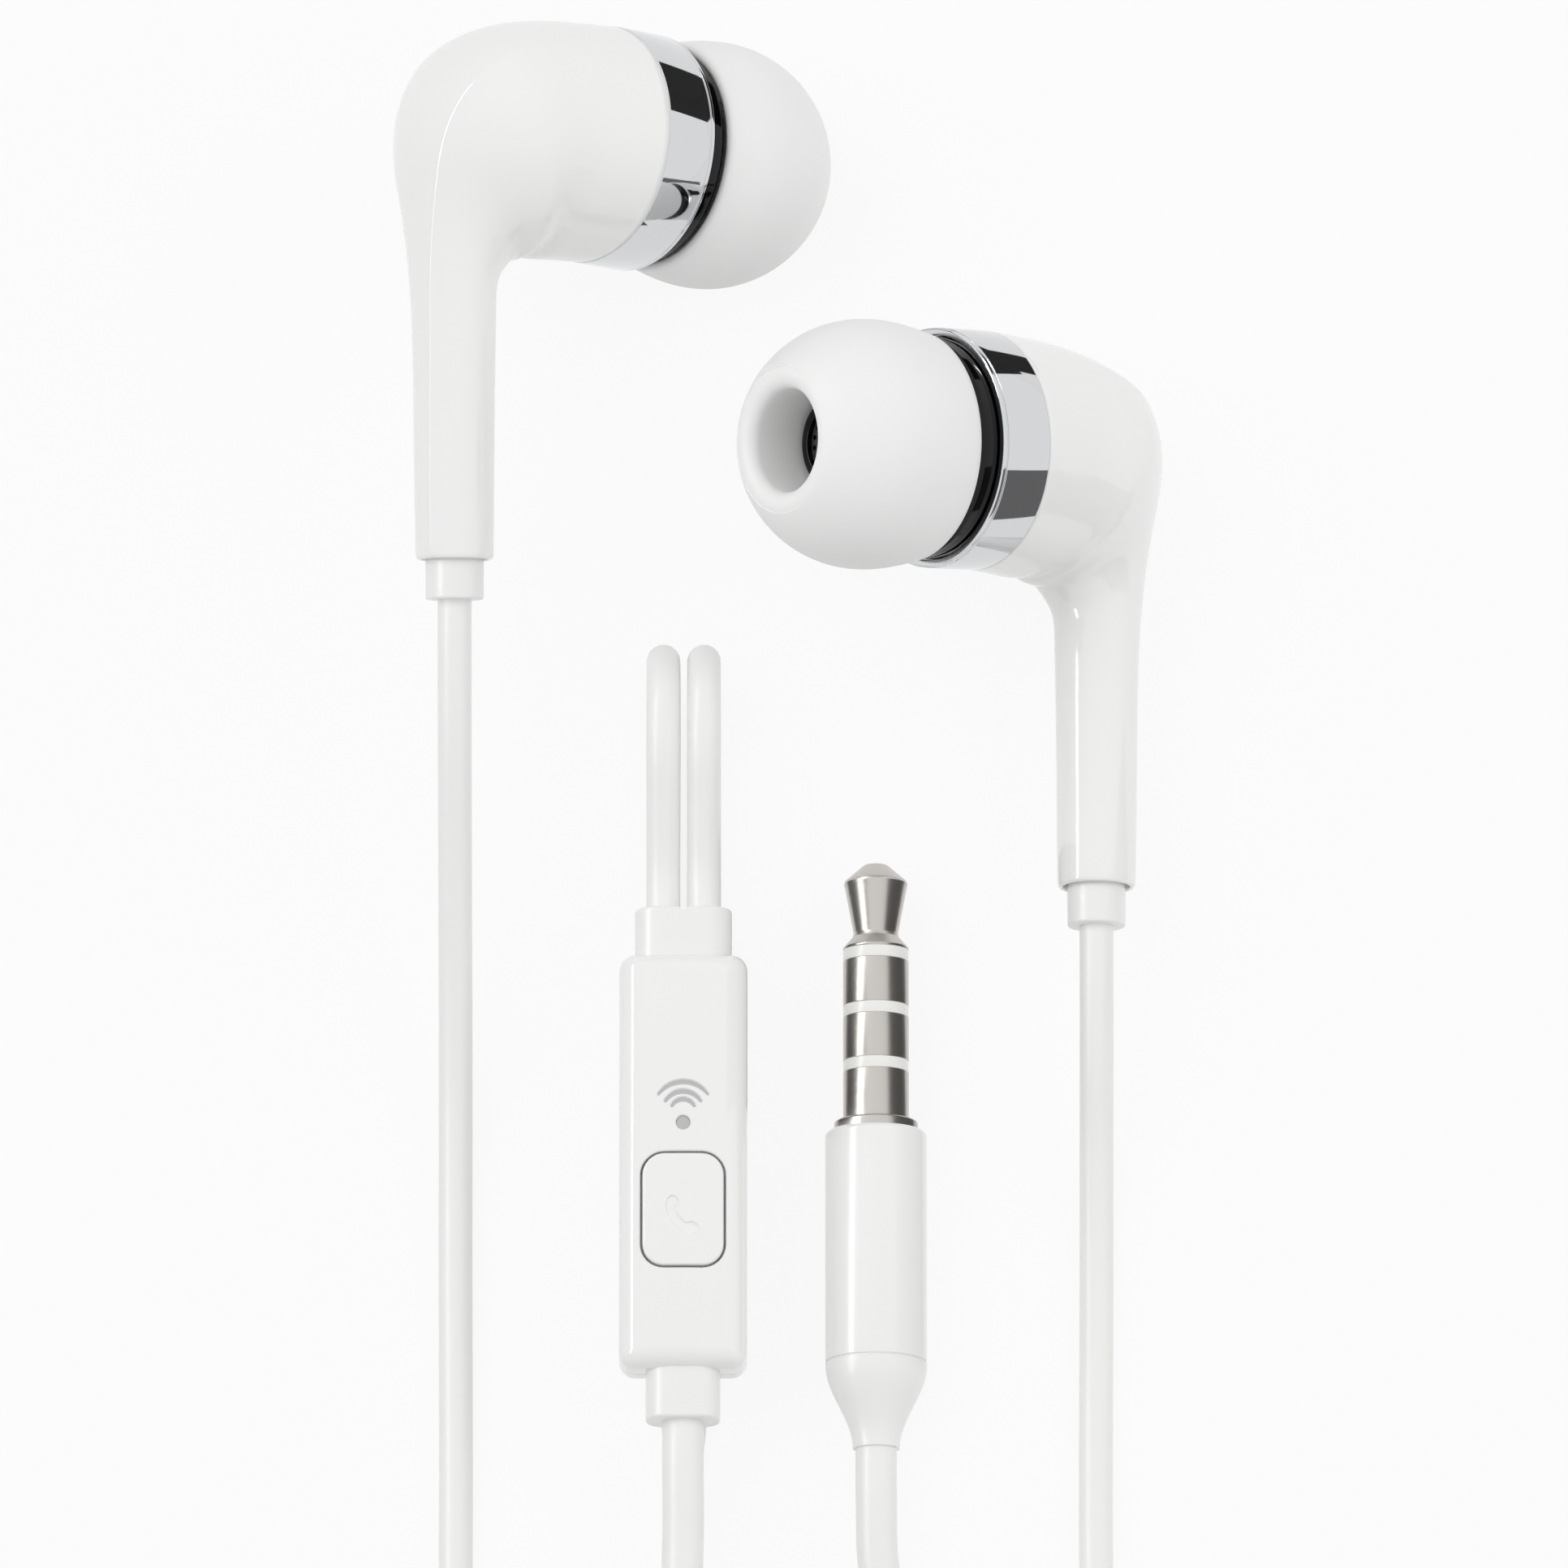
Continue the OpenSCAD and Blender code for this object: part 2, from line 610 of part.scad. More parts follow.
// Tip contact: short barrel, cone, waist, ball and flat nose, with the core behind it
module plug_tip()
    color("silver")
    in_plug() {
        low = contact_ends[2] + insulator_len;
        rotate_extrude() polygon([[0, -flange_t], [core_r, -flange_t], [core_r, low],
            [jack_d / 2, low], [jack_d / 2, low + 0.12], [1.3, low + 0.75], [1.26, low + 0.95],
            [1.64, jack_len - 1.3], [1.7, jack_len - 1.02], [1.62, jack_len - 0.82],
            [0.68, jack_len - 0.06], [0.56, jack_len], [0, jack_len]]);
    }

module plug_grip()
    color("white")
    in_plug() rotate_extrude() polygon([[0, -flange_t], [grip_d / 2 - 0.25, -flange_t],
        [grip_d / 2 - 0.08, -flange_t - 0.07], [grip_d / 2, -flange_t - 0.25],
        [grip_d / 2, -flange_t - grip_len], [0, -flange_t - grip_len]]);

// Tapered end of the moulding, hollow-curved down to the cord
module plug_strain_relief()
    color("white")
    in_plug() translate([0, 0, -flange_t - grip_len]) rotate_extrude()
        polygon(concat(
            [[0, -relief_len], [0, 0], [grip_d / 2 - 0.12, 0], [grip_d / 2 - 0.12, -0.06],
                [grip_d / 2, -0.12]],
            [for (i = [1:10]) let (t = i / 10)
                [main_d / 2 + 0.15 + (grip_d / 2 - main_d / 2 - 0.15) * (0.5 + 0.5 * cos(180 * t)),
                    -relief_len * (0.03 + 0.97 * t)]]));

// ---------- Cords ----------

remote_top_y = remote_at[1] + remote_len / 2 + grommet_len;
remote_bottom_y = remote_at[1] - remote_len / 2 - grommet_len;
remote_cord_z = remote_at[2] + cord_exit_z;
plug_tail_y = plug_at[1] - flange_t - grip_len - relief_len;

function branch_end(side) =
    [remote_at[0] + side * branch_spacing / 2, remote_top_y, remote_cord_z];

coil_end_turns = 2 * coil_turns + 0.5;
coil_start = coil_at + [-coil_outer_r, main_d, main_d / 2];
coil_finish = coil_at + [coil_outer_r, main_d, main_d / 2 + coil_pitch];

// Turn t of the main coil: in along the table, up a layer in the half turn where it turns
// back, and out again on top
function coil_point(t) =
    let (r = coil_outer_r - coil_pitch * min(t, coil_end_turns - t),
         climb = min(1, max(0, 2 * (t - coil_turns))),
         a = 180 + 360 * t)
    coil_at + [r * cos(a), r * sin(a), main_d / 2 + coil_pitch * (0.5 - 0.5 * cos(180 * climb))];

coil_route = concat([coil_start],
    [for (i = [0:coil_end_turns * coil_rings]) coil_point(i / coil_rings)],
    [coil_finish]);

// Turn t of a branch coil: round on itself and up a cord's height in each turn. The way is -1
// where it starts on its right side, and 1 where it starts on its left side.
function branch_coil_point(at, way, t) =
    at + [-way * branch_coil_r * cos(360 * t), -branch_coil_r * sin(360 * t),
        branch_coil_pitch * t];

function branch_coil_start(at, way) = branch_coil_point(at, way, 0) + [0, branch_d, 0];

function branch_coil_finish(at, way) =
    branch_coil_point(at, way, branch_coil_turns) + [0, branch_d, 0];

function branch_coil_route(at, way) =
    concat([branch_coil_start(at, way)],
        [for (i = [0:branch_coil_turns * coil_rings])
            branch_coil_point(at, way, i / coil_rings)],
        [branch_coil_finish(at, way)]);

left_coil_route = branch_coil_route(left_coil_at, -1);
right_coil_route = branch_coil_route(right_coil_at, 1);

left_branch = concat([left_cord_start], left_branch_route,
    [branch_coil_finish(left_coil_at, -1)]);
left_lead = concat([branch_end(-1)], left_lead_route, [branch_coil_start(left_coil_at, -1)]);
right_branch = concat([right_cord_start], right_branch_route,
    [branch_coil_finish(right_coil_at, 1)]);
right_lead = concat([branch_end(1)], right_lead_route, [branch_coil_start(right_coil_at, 1)]);
remote_lead = concat([[remote_at[0], remote_bottom_y, remote_cord_z]], remote_lead_route,
    [coil_start]);
plug_lead = concat([coil_finish], plug_lead_route, [[plug_at[0], plug_tail_y, plug_at[2]]]);

// Least clear gap between two turns of a coil
function least_gap(route, d) =
    let (last = len(route) - 1)
    min([for (i = [0:last - coil_rings / 2])
        min([for (j = [i + coil_rings / 2:last]) norm(route[i] - route[j])])]) - d;

function route_len(route, i = 0) =
    i >= len(route) - 1 ? 0 : norm(route[i + 1] - route[i]) + route_len(route, i + 1);

echo(main_coil_least_gap = least_gap(coil_route, main_d));
echo(branch_coil_least_gap = least_gap(left_coil_route, branch_d));
echo(left_branch_len = route_len(left_branch) + route_len(left_coil_route)
    + route_len(left_lead));
echo(right_branch_len = route_len(right_branch) + route_len(right_coil_route)
    + route_len(right_lead));
echo(main_len = route_len(remote_lead) + route_len(coil_route) + route_len(plug_lead));

module cord(route, d, sides = cord_sides, reference = [0, 0, 1])
    color("white") in_layout() tube(route, d, sides, reference);

module left_branch_cord() cord(left_branch, branch_d);
module left_branch_coil() cord(left_coil_route, branch_d, coil_sides);
module left_branch_to_remote() cord(left_lead, branch_d, reference = [1, 0, 0]);
module right_branch_cord() cord(right_branch, branch_d);
module right_branch_coil() cord(right_coil_route, branch_d, coil_sides);
module right_branch_to_remote() cord(right_lead, branch_d, reference = [1, 0, 0]);
module main_cord_from_remote() cord(remote_lead, main_d);
module main_cord_coil() cord(coil_route, main_d, coil_sides);
module main_cord_to_plug() cord(plug_lead, main_d);

// ---------- Nodes ----------

left_bud() rear_housing();  // left_rear_housing
left_bud() trim_ring();  // left_trim_ring
left_bud() front_housing();  // left_front_housing
left_bud() nozzle_mesh();  // left_nozzle_mesh
left_bud() driver_frame();  // left_driver_frame
left_bud() yoke();  // left_yoke
left_bud() magnet();  // left_magnet
left_bud() pole_piece();  // left_pole_piece
left_bud() voice_coil();  // left_voice_coil
left_bud() diaphragm();  // left_diaphragm
left_bud() stem_collar();  // left_stem_collar
left_bud() ear_tip();  // left_ear_tip
right_bud() rear_housing();  // right_rear_housing
right_bud() trim_ring();  // right_trim_ring
right_bud() front_housing();  // right_front_housing
right_bud() nozzle_mesh();  // right_nozzle_mesh
right_bud() driver_frame();  // right_driver_frame
right_bud() yoke();  // right_yoke
right_bud() magnet();  // right_magnet
right_bud() pole_piece();  // right_pole_piece
right_bud() voice_coil();  // right_voice_coil
right_bud() diaphragm();  // right_diaphragm
right_bud() stem_collar();  // right_stem_collar
right_bud() ear_tip();  // right_ear_tip
remote_back_shell();
remote_front_shell();
remote_circuit_board();
remote_switch();
remote_microphone();
remote_mic_gasket();
remote_top_grommet();
remote_bottom_grommet();
button_cap();
plug_tip();
plug_ring_upper();
plug_ring_lower();
plug_sleeve();
plug_insulators();
plug_grip();
plug_strain_relief();
left_branch_cord();
left_branch_coil();
left_branch_to_remote();
right_branch_cord();
right_branch_coil();
right_branch_to_remote();
main_cord_from_remote();
main_cord_coil();
main_cord_to_plug();
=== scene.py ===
import math

import bmesh
import bpy
from mathutils import Matrix, Vector


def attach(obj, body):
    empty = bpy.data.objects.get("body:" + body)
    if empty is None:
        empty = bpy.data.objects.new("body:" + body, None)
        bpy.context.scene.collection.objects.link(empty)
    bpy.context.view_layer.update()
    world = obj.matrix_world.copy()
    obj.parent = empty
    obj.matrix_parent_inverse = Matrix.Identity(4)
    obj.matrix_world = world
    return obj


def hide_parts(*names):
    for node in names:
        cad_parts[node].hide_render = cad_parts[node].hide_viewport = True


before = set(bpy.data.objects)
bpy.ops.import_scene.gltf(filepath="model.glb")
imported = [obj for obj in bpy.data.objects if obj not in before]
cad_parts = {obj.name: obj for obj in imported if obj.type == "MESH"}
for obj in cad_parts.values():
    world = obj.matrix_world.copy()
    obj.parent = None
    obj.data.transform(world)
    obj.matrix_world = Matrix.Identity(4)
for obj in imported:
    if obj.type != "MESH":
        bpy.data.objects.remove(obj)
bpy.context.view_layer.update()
scene = bpy.context.scene

# ---- Camera ----
# A long lens looks down on the table from the plug's end, nearly square to it, so that the
# earbuds, the remote and the plug show their faces. The frame is square, 84 mm wide at the table.
MM = 0.001
TABLE = Matrix.Translation((0.29, -1.6, 0))
VIEW_TILT = math.radians(13)
VIEW_DISTANCE = 1.2
VIEW_WIDTH = 0.084

camera = bpy.data.objects.new("camera", bpy.data.cameras.new("camera"))
scene.collection.objects.link(camera)
scene.camera = camera
camera.data.lens = camera.data.sensor_width * VIEW_DISTANCE / VIEW_WIDTH
camera.rotation_euler = (VIEW_TILT, 0, 0)
camera.location = TABLE.translation * MM + VIEW_DISTANCE * Vector(
    (0, -math.sin(VIEW_TILT), math.cos(VIEW_TILT)))

# ---- Cords ----
# Limp flex in a satin white elastomer jacket, extruded round: a 1.8 mm cord from each bud, put
# away in a loop and a half before it folds up into the remote, and a 2.2 mm main cord that is
# wound flat in two layers and ends in the plug.
BRANCH_D = 1.8
MAIN_D = 2.2
CORD_PITCH = 0.9
CORD_BEVEL = 6
COLLAR_END_Y = -25.5
CORD_LAP = 0.6
REMOTE_AT = Vector((-5.35, -22.16, 3.3))
REMOTE_END_Y = 13.85
CORD_EXIT_Z = 2.4
BRANCH_SPACING = 2.16
PLUG_AT = Vector((4.9, -19.1, 2.75))
PLUG_TAIL = 17.75
COIL_POINTS = 24
MAIN_COIL_AT = Vector((-0.2, -77, 0))
MAIN_COIL_TURNS = 10.5
MAIN_COIL_R = 19.6
MAIN_COIL_PITCH = 2.65
BRANCH_COIL_AT = Vector((10.9, -77.5, 5.85))
BRANCH_COIL_TURNS = 1.5
BRANCH_COIL_R = 9.5
BRANCH_COIL_PITCH = 2.25
BUDS = {
    "left": TABLE @ Matrix.Translation((-17.5, 32.45, 16.2))
    @ Matrix.Rotation(math.radians(10), 4, "X") @ Matrix.Rotation(math.radians(39), 4, "Y"),
    "right": TABLE @ Matrix.Translation((16.65, 16.65, 5))
    @ Matrix.Rotation(math.radians(1), 4, "X") @ Matrix.Rotation(math.radians(37.5), 4, "Y")
    @ Matrix.Scale(-1, 4, (1, 0, 0)),
}
BRANCH_ROUTES = {
    "left": [
        (-17.5, 4.9, 11.34), (-17.5, 0.5, 10), (-17.5, -6, 6.9), (-17.5, -12.5, 3.8),
        (-17.5, -18.5, 1.7), (-17.5, -24.5, 0.9), (-17.5, -47.5, 0.9), (-17.8, -52, 1.3),
        (-18.4, -56.5, 3.1), (-19.4, -61.5, 5.5), (-20.1, -67, 7.6), (-20.4, -72.5, 9.22),
    ],
    "right": [
        (16.65, -11.4, 4.51), (16.65, -15.5, 3.7), (16.65, -20.5, 2), (16.65, -26, 0.9),
        (16.65, -47.5, 0.9), (17, -52, 1.3), (18, -56.5, 3.1), (19.2, -61.5, 5.5),
        (20, -67, 7.6), (20.4, -72.5, 9.22),
    ],
}
# From the remote's top end, folded down and back under it, to the loops
LEAD_FOLD = [
    (-6.2, 5.7), (-2.9, 6.8), (0, 7.9), (2, 8.1), (3.8, 7.6), (5.1, 6.3), (5.6, 4.5),
    (5.1, 2.7), (3.8, 1.4), (2, 0.9), (-10, 0.9),
]
LEAD_ROUTES = {
    "left": [
        (-6.27, -20, 0.9), (-6.27, -27.4, 0.9), (-6.2, -29.4, 1.65), (-6.1, -31.4, 2.05),
        (-5.97, -33.4, 2.3), (-5.72, -35, 2.6), (-5.45, -36.8, 2.78), (-5.35, -38.9, 2.8),
        (-5.35, -45, 2.8), (-5, -49, 3.1), (-3.9, -53.2, 4.4), (-2.6, -57.2, 5.7),
        (-1.8, -61.5, 5.95), (-1.4, -67, 5.85), (-1.4, -72, 5.85),
    ],
    "right": [
        (-4.43, -20, 0.9), (-4.43, -27.4, 0.9), (-4.6, -31.4, 0.9), (-4.98, -35, 0.9),
        (-5.35, -38.9, 0.9), (-5.35, -45, 0.9), (-4.4, -48.6, 1), (-2, -52, 2),
        (0, -55, 3.9), (1.1, -58.5, 5.6), (1.4, -63, 5.95), (1.4, -68, 5.85),
        (1.4, -72, 5.85),
    ],
}
REMOTE_LEAD_ROUTE = [
    (-5.35, -38.6, 5.7), (-5.35, -42.4, 5.2), (-5.6, -45.6, 4.95), (-7.4, -49.5, 4.3),
    (-10.6, -53.6, 3), (-14.2, -58, 1.7), (-17.4, -62.6, 1.15), (-19.4, -67.8, 1.1),
    (-19.8, -72.3, 1.1), (-19.8, -74.8, 1.1),
]
PLUG_LEAD_ROUTE = [
    (19.4, -74.8, 3.75), (19.4, -72.2, 3.75), (19.2, -68, 3.3), (17.6, -63.4, 2.2),
    (14.4, -58.6, 1.3), (10.2, -54, 1.1), (6.8, -49, 1.2), (5.1, -43.6, 2.1),
    (4.9, -39.6, 2.75),
]


def through(points, even=False, per_span=None):
    """A smooth run through the points: even spacing gives each span the same weight."""
    points = [Vector(p) for p in points]
    ends = [2 * points[0] - points[1], *points, 2 * points[-1] - points[-2]]
    run = []
    for a, b, c, d in zip(ends, ends[1:], ends[2:], ends[3:]):
        knots = [0]
        for start, end in ((a, b), (b, c), (c, d)):
            knots.append(knots[-1] + (1 if even else math.sqrt((end - start).length)))
        count = per_span or max(1, math.ceil((c - b).length / CORD_PITCH))
        for step in range(count):
            t = knots[1] + (knots[2] - knots[1]) * step / count
            level = [a, b, c, d]
            for pairs in (((0, 1), (1, 2), (2, 3)), ((0, 2), (1, 3)), ((1, 2),)):
                level = [near.lerp(far, (t - knots[lo]) / (knots[hi] - knots[lo]))
                         for near, far, (lo, hi) in zip(level, level[1:], pairs)]
            run.append(level[0])
    return run + [points[-1]]


def linear(code):
    """An sRGB hex colour as the linear colour that a socket takes."""
    channels = [int(code[i:i + 2], 16) / 255 for i in (1, 3, 5)]
    return [c / 12.92 if c <= 0.04045 else ((c + 0.055) / 1.055) ** 2.4 for c in channels] + [1]


def add(paint, kind, inputs, **settings):
    """One node with its settings; an input is a value or the socket that feeds it."""
    tree = paint.node_tree
    made = tree.nodes.new(kind)
    for name, value in settings.items():
        setattr(made, name, value)
    for name, value in inputs.items():
        if isinstance(value, bpy.types.NodeSocket):
            tree.links.new(value, made.inputs[name])
        else:
            made.inputs[name].default_value = value
    return made


def finish(name, sockets, grain_mm, roughness, bump_mm):
    """A finish whose gloss and surface vary over grain of this size."""
    paint = bpy.data.materials.new(name)
    paint.use_nodes = True
    tree = paint.node_tree
    shader = tree.nodes["Principled BSDF"]
    for socket, value in sockets.items():
        shader.inputs[socket].default_value = value
    place = add(paint, "ShaderNodeTexCoord", {}).outputs["Object"]
    grain = add(paint, "ShaderNodeTexNoise",
                {"Vector": place, "Scale": 1 / (grain_mm * MM), "Detail": 3.0})
    gloss = add(paint, "ShaderNodeMapRange",
                {"Value": grain.outputs["Fac"], "From Min": 0.3, "From Max": 0.7,
                 "To Min": roughness[0], "To Max": roughness[1]})
    tree.links.new(gloss.outputs["Result"], shader.inputs["Roughness"])
    bump = add(paint, "ShaderNodeBump",
               {"Height": grain.outputs["Fac"], "Strength": 1.0, "Distance": bump_mm * MM})
    tree.links.new(bump.outputs["Normal"], shader.inputs["Normal"])
    return paint


# Thermoplastic elastomer, extruded: satin, faintly soft to light, with a fine drag texture
cord_paint = finish("extruded elastomer", {
    "Base Color": linear("#f5f5f4"), "IOR": 1.5, "Subsurface Weight": 0.15,
    "Subsurface Radius": (1, 1, 1), "Subsurface Scale": 0.4 * MM}, 0.5, (0.36, 0.46), 0.004)


def cord_curve(name, route, diameter, nodes):
    """A round cord along the route, in place of its CAD nodes."""
    curve = bpy.data.curves.new(name, "CURVE")
    curve.dimensions = "3D"
    curve.bevel_depth = diameter / 2 * MM
    curve.bevel_resolution = CORD_BEVEL
    curve.use_fill_caps = True
    line = curve.splines.new("POLY")
    points = [MM * (TABLE @ p) for p in through(route)]
    line.points.add(len(points) - 1)
    for point, place in zip(line.points, points):
        point.co = (*place, 1)
    line.use_smooth = True
    cord = bpy.data.objects.new(name, curve)
    scene.collection.objects.link(cord)
    curve.materials.append(cord_paint)
    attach(cord, "root")
    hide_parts(*nodes)
    return cord, points


def loops_of(place, way, turns, radius_at, height_at):
    """Points round a coil that starts on the left, or on the right for a way of -1."""
    run = []
    for k in range(int(turns * COIL_POINTS) + 1):
        turn = k / COIL_POINTS
        angle, radius = math.tau * turn, radius_at(turn)
        run.append(place + Vector((-way * radius * math.cos(angle),
                                   -radius * math.sin(angle), height_at(turn))))
    return run


to_layout = TABLE.inverted()
branches = {}
for side, way, length in (("left", -1, 0.281), ("right", 1, 0.265)):
    start = to_layout @ BUDS[side] @ Vector((0, COLLAR_END_Y + CORD_LAP, 0))
    lead_x = REMOTE_AT.x + way * BRANCH_SPACING / 2
    end = Vector((lead_x, REMOTE_AT.y + REMOTE_END_Y - CORD_LAP, REMOTE_AT.z + CORD_EXIT_Z))
    put_away = loops_of(
        Vector((way * BRANCH_COIL_AT.x, *BRANCH_COIL_AT.yz)), way, BRANCH_COIL_TURNS,
        lambda turn: BRANCH_COIL_R, lambda turn: BRANCH_COIL_PITCH * turn)
    step = Vector((0, BRANCH_D, 0))
    lead = [(lead_x, y, z) for y, z in LEAD_FOLD] + LEAD_ROUTES[side]
    route = [start, *BRANCH_ROUTES[side], put_away[-1] + step, *reversed(put_away),
             put_away[0] + step, *reversed(lead), end]
    branches[side], points = cord_curve(
        f"{side}_branch_flex", route, BRANCH_D,
        [f"{side}_branch_cord", f"{side}_branch_coil", f"{side}_branch_to_remote"])


def layer_height(turn):
    """The main coil climbs onto its second layer in the half turn where it turns back."""
    climb = min(1, max(0, 2 * (turn - (MAIN_COIL_TURNS - 0.5) / 2)))
    return MAIN_D / 2 + MAIN_COIL_PITCH * (0.5 - 0.5 * math.cos(math.pi * climb))


main_loops = loops_of(
    MAIN_COIL_AT, 1, MAIN_COIL_TURNS,
    lambda turn: MAIN_COIL_R - MAIN_COIL_PITCH * min(turn, MAIN_COIL_TURNS - turn), layer_height)
main_route = [
    REMOTE_AT + Vector((0, CORD_LAP - REMOTE_END_Y, CORD_EXIT_Z)), *REMOTE_LEAD_ROUTE,
    *main_loops, *PLUG_LEAD_ROUTE, PLUG_AT + Vector((0, CORD_LAP - PLUG_TAIL, 0)),
]
main_flex, main_points = cord_curve(
    "main_flex", main_route, MAIN_D,
    ["main_cord_from_remote", "main_cord_coil", "main_cord_to_plug"])

# ---- Rear housings ----
# Each bud's body and stem are one injection-moulded shell in high-gloss white ABS. The moulding
# swells from the round seam into the head, turns down into the stem, and has a fine spine line.
HOUSING_ROWS = [
    # outer edge x, y, inner edge x, y, half depth, depth centre, spine angle, spine height
    (9.42, 5.52, 8.19, -7.22, 6.40, 0.90, 44, 0),
    (6.20, 5.64, 6.20, -7.15, 6.30, 0.50, 42, 0.02),
    (3.41, 5.48, 5.00, -7.15, 6.16, 0.28, 40, 0.06),
    (1.00, 4.83, 4.15, -6.96, 6.02, 0.30, 38, 0.10),
    (-0.90, 3.71, 3.74, -7.23, 5.80, 0.32, 36.5, 0.14),
    (-2.21, 1.89, 3.43, -7.34, 5.12, 0.30, 33.5, 0.16),
    (-2.90, -0.16, 3.14, -7.37, 4.26, 0.20, 32, 0.16),
    (-3.03, -2.24, 2.91, -7.63, 3.50, 0.06, 32, 0.16),
    (-2.79, -4.51, 2.61, -8.03, 2.92, 0, 29, 0.15),
    (-2.58, -6.84, 2.19, -8.81, 2.50, 0, 24.5, 0.13),
    (-2.36, -9.61, 2.18, -10.59, 2.30, 0, 20, 0.12),
    (-2.24, -13.60, 2.15, -13.90, 2.19, 0, 18, 0.11),
    (-2.20, -18.50, 2.12, -18.50, 2.13, 0, 17, 0.11),
    (-2.10, -23.00, 2.10, -23.00, 2.10, 0, 16, 0.11),
]
HOUSING_SIDES = 72
SPINE_CROWDING = 0.75
SPINE_WIDTH = math.radians(8)
SPINE_EDGE = math.radians(0.8)
STEM_END_Y = -23.4
# The rounded rim at the stem's end and the recess in it: radius, height over the end
STEM_RIM = [(2.07, 0.12), (1.98, 0.02), (1.84, 0.0), (1.76, 0.08), (1.74, 1.05), (1.2, 1.1)]
RIM_SPINE = (16, 0.08)
# The lip under the trim ring: share of the seam's size, depth
SEAM_LIP = [(0.88, 0.0), (0.86, 0.9)]
HEAD_AXIS = Matrix.Translation((0, 0, 0.9)) @ Matrix.Rotation(math.radians(-5.5), 4, "Z") \
    @ Matrix.Rotation(math.radians(90), 4, "Y")

# High-gloss ABS out of a polished mould: it shows lamps as sharp lines, and is faintly wavy
gloss_white = finish("gloss white ABS", {
    "Base Color": linear("#f7f7f6"), "IOR": 1.54, "Subsurface Weight": 0.08,
    "Subsurface Radius": (1, 1, 1), "Subsurface Scale": 0.3 * MM}, 2.2, (0.09, 0.13), 0.0006)


def make(name, bm, place, paint, body="root", nodes=(), sharp=35, levels=0,
         recess_shade_paint=None):
    """The finished piece: in its place in metres, smooth but for its corners, on its body."""
    bmesh.ops.remove_doubles(bm, verts=bm.verts, dist=1e-5)
    bmesh.ops.transform(bm, matrix=Matrix.Scale(MM, 4) @ place, verts=bm.verts)
    bmesh.ops.recalc_face_normals(bm, faces=bm.faces)
    mesh = bpy.data.meshes.new(name)
    bm.to_mesh(mesh)
    bm.free()
    for face in mesh.polygons:
        face.use_smooth = True
    if not levels:
        mesh.set_sharp_from_angle(angle=math.radians(sharp))
    mesh.materials.append(paint)
    # A second paint for faces marked 1: the grey painted shade on the floors of the remote's sunk
    # arcs
    if recess_shade_paint:
        mesh.materials.append(recess_shade_paint)
    piece = bpy.data.objects.new(name, mesh)
    scene.collection.objects.link(piece)
    if levels:
        rounder = piece.modifiers.new("rounding", "SUBSURF")
        rounder.levels = rounder.render_levels = levels
    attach(piece, body)
    if nodes:
        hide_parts(*nodes)
    return piece


def lofted(rings):
    """A closed skin over rings of as many points each, with the edges of each ring."""
    bm = bmesh.new()
    bm.edges.layers.float.new("crease_edge")
    hoops = []
    for points in rings:
        circle = bmesh.ops.create_circle(bm, segments=len(points), radius=1)["verts"]
        circle.sort(key=lambda v: math.atan2(v.co.y, v.co.x) % math.tau)
        for vertex, point in zip(circle, points):
            vertex.co = point
        hoops.append(list({edge for vertex in circle for edge in vertex.link_edges}))
    for near, far in zip(hoops, hoops[1:]):
        bmesh.ops.bridge_loops(bm, edges=near + far)
    bmesh.ops.holes_fill(bm, edges=hoops[0] + hoops[-1], sides=0)
    return bm, hoops


def section(row):
    """One ring of the housing from its spine line round, its points crowded at the spine."""
    outer, inner = Vector(row[0:2]), Vector(row[2:4])
    middle, out = (outer + inner) / 2, (outer - inner).normalized()
    half = (outer - inner).length / 2
    ring = []
    for k in range(HOUSING_SIDES):
        turn = math.tau * (k / HOUSING_SIDES - (1 if 2 * k > HOUSING_SIDES else 0))
        turn -= SPINE_CROWDING * math.sin(turn)
        angle = turn + math.radians(row[6])
        edge = math.hypot(turn, SPINE_EDGE) - SPINE_EDGE
        spine = row[7] * math.exp(-edge / SPINE_WIDTH)
        reach = (half + spine) * math.cos(angle)
        ring.append((middle.x + out.x * reach, middle.y + out.y * reach,
                     row[5] + (row[4] + spine) * math.sin(angle)))
    return ring


for side in BUDS:
    seam = HOUSING_ROWS[0]
    seam_middle = Vector(((seam[0] + seam[2]) / 2, (seam[1] + seam[3]) / 2))
    inward = (HEAD_AXIS.to_3x3() @ Vector((0, 0, -1))).to_2d()
    lip = []
    for size, depth in reversed(SEAM_LIP):
        edges = [seam_middle + (Vector(seam[k:k + 2]) - seam_middle) * size + inward * depth
                 for k in (0, 2)]
        lip.append((*edges[0], *edges[1], seam[4] * size, seam[5], seam[6], 0))
    rim = [(-r, STEM_END_Y + rise, r, STEM_END_Y + rise, r, 0, RIM_SPINE[0],
            RIM_SPINE[1] if r > 2 else 0) for r, rise in STEM_RIM]
    rows = lip + [tuple(row) for row in through(HOUSING_ROWS, even=True, per_span=2)] + rim
    shell, hoops = lofted([section(row) for row in rows])
    crisp = shell.edges.layers.float["crease_edge"]
    for edge in hoops[1] + hoops[2]:
        edge[crisp] = 1.0
    make(f"{side}_bud_shell", shell, BUDS[side], gloss_white, nodes=[f"{side}_rear_housing"],
         levels=2)

# ---- Trim rings, front housings and ear tips ----
# A chrome-plated ring is pressed over the seam. The black front piece carries the sound nozzle,
# and a soft silicone tip is pushed over its barb and pulls straight off.
SEAM_S = 8.85
RING_FRONT_S = 11.95
SKIRT_S = 13.2
NOZZLE_BASE_S = 14.4
NOZZLE_END_S = 18.8
TIP_R = 6.65
TIP_LEN = 8.8
TIP_DOME = (6.7, 5.4)
TIP_BORE_R = 2.75
TIP_WALL = 0.6
WIDEST_S = SKIRT_S + 3.3
MOUTH_R = 0.7
ROUND_STEPS = 144


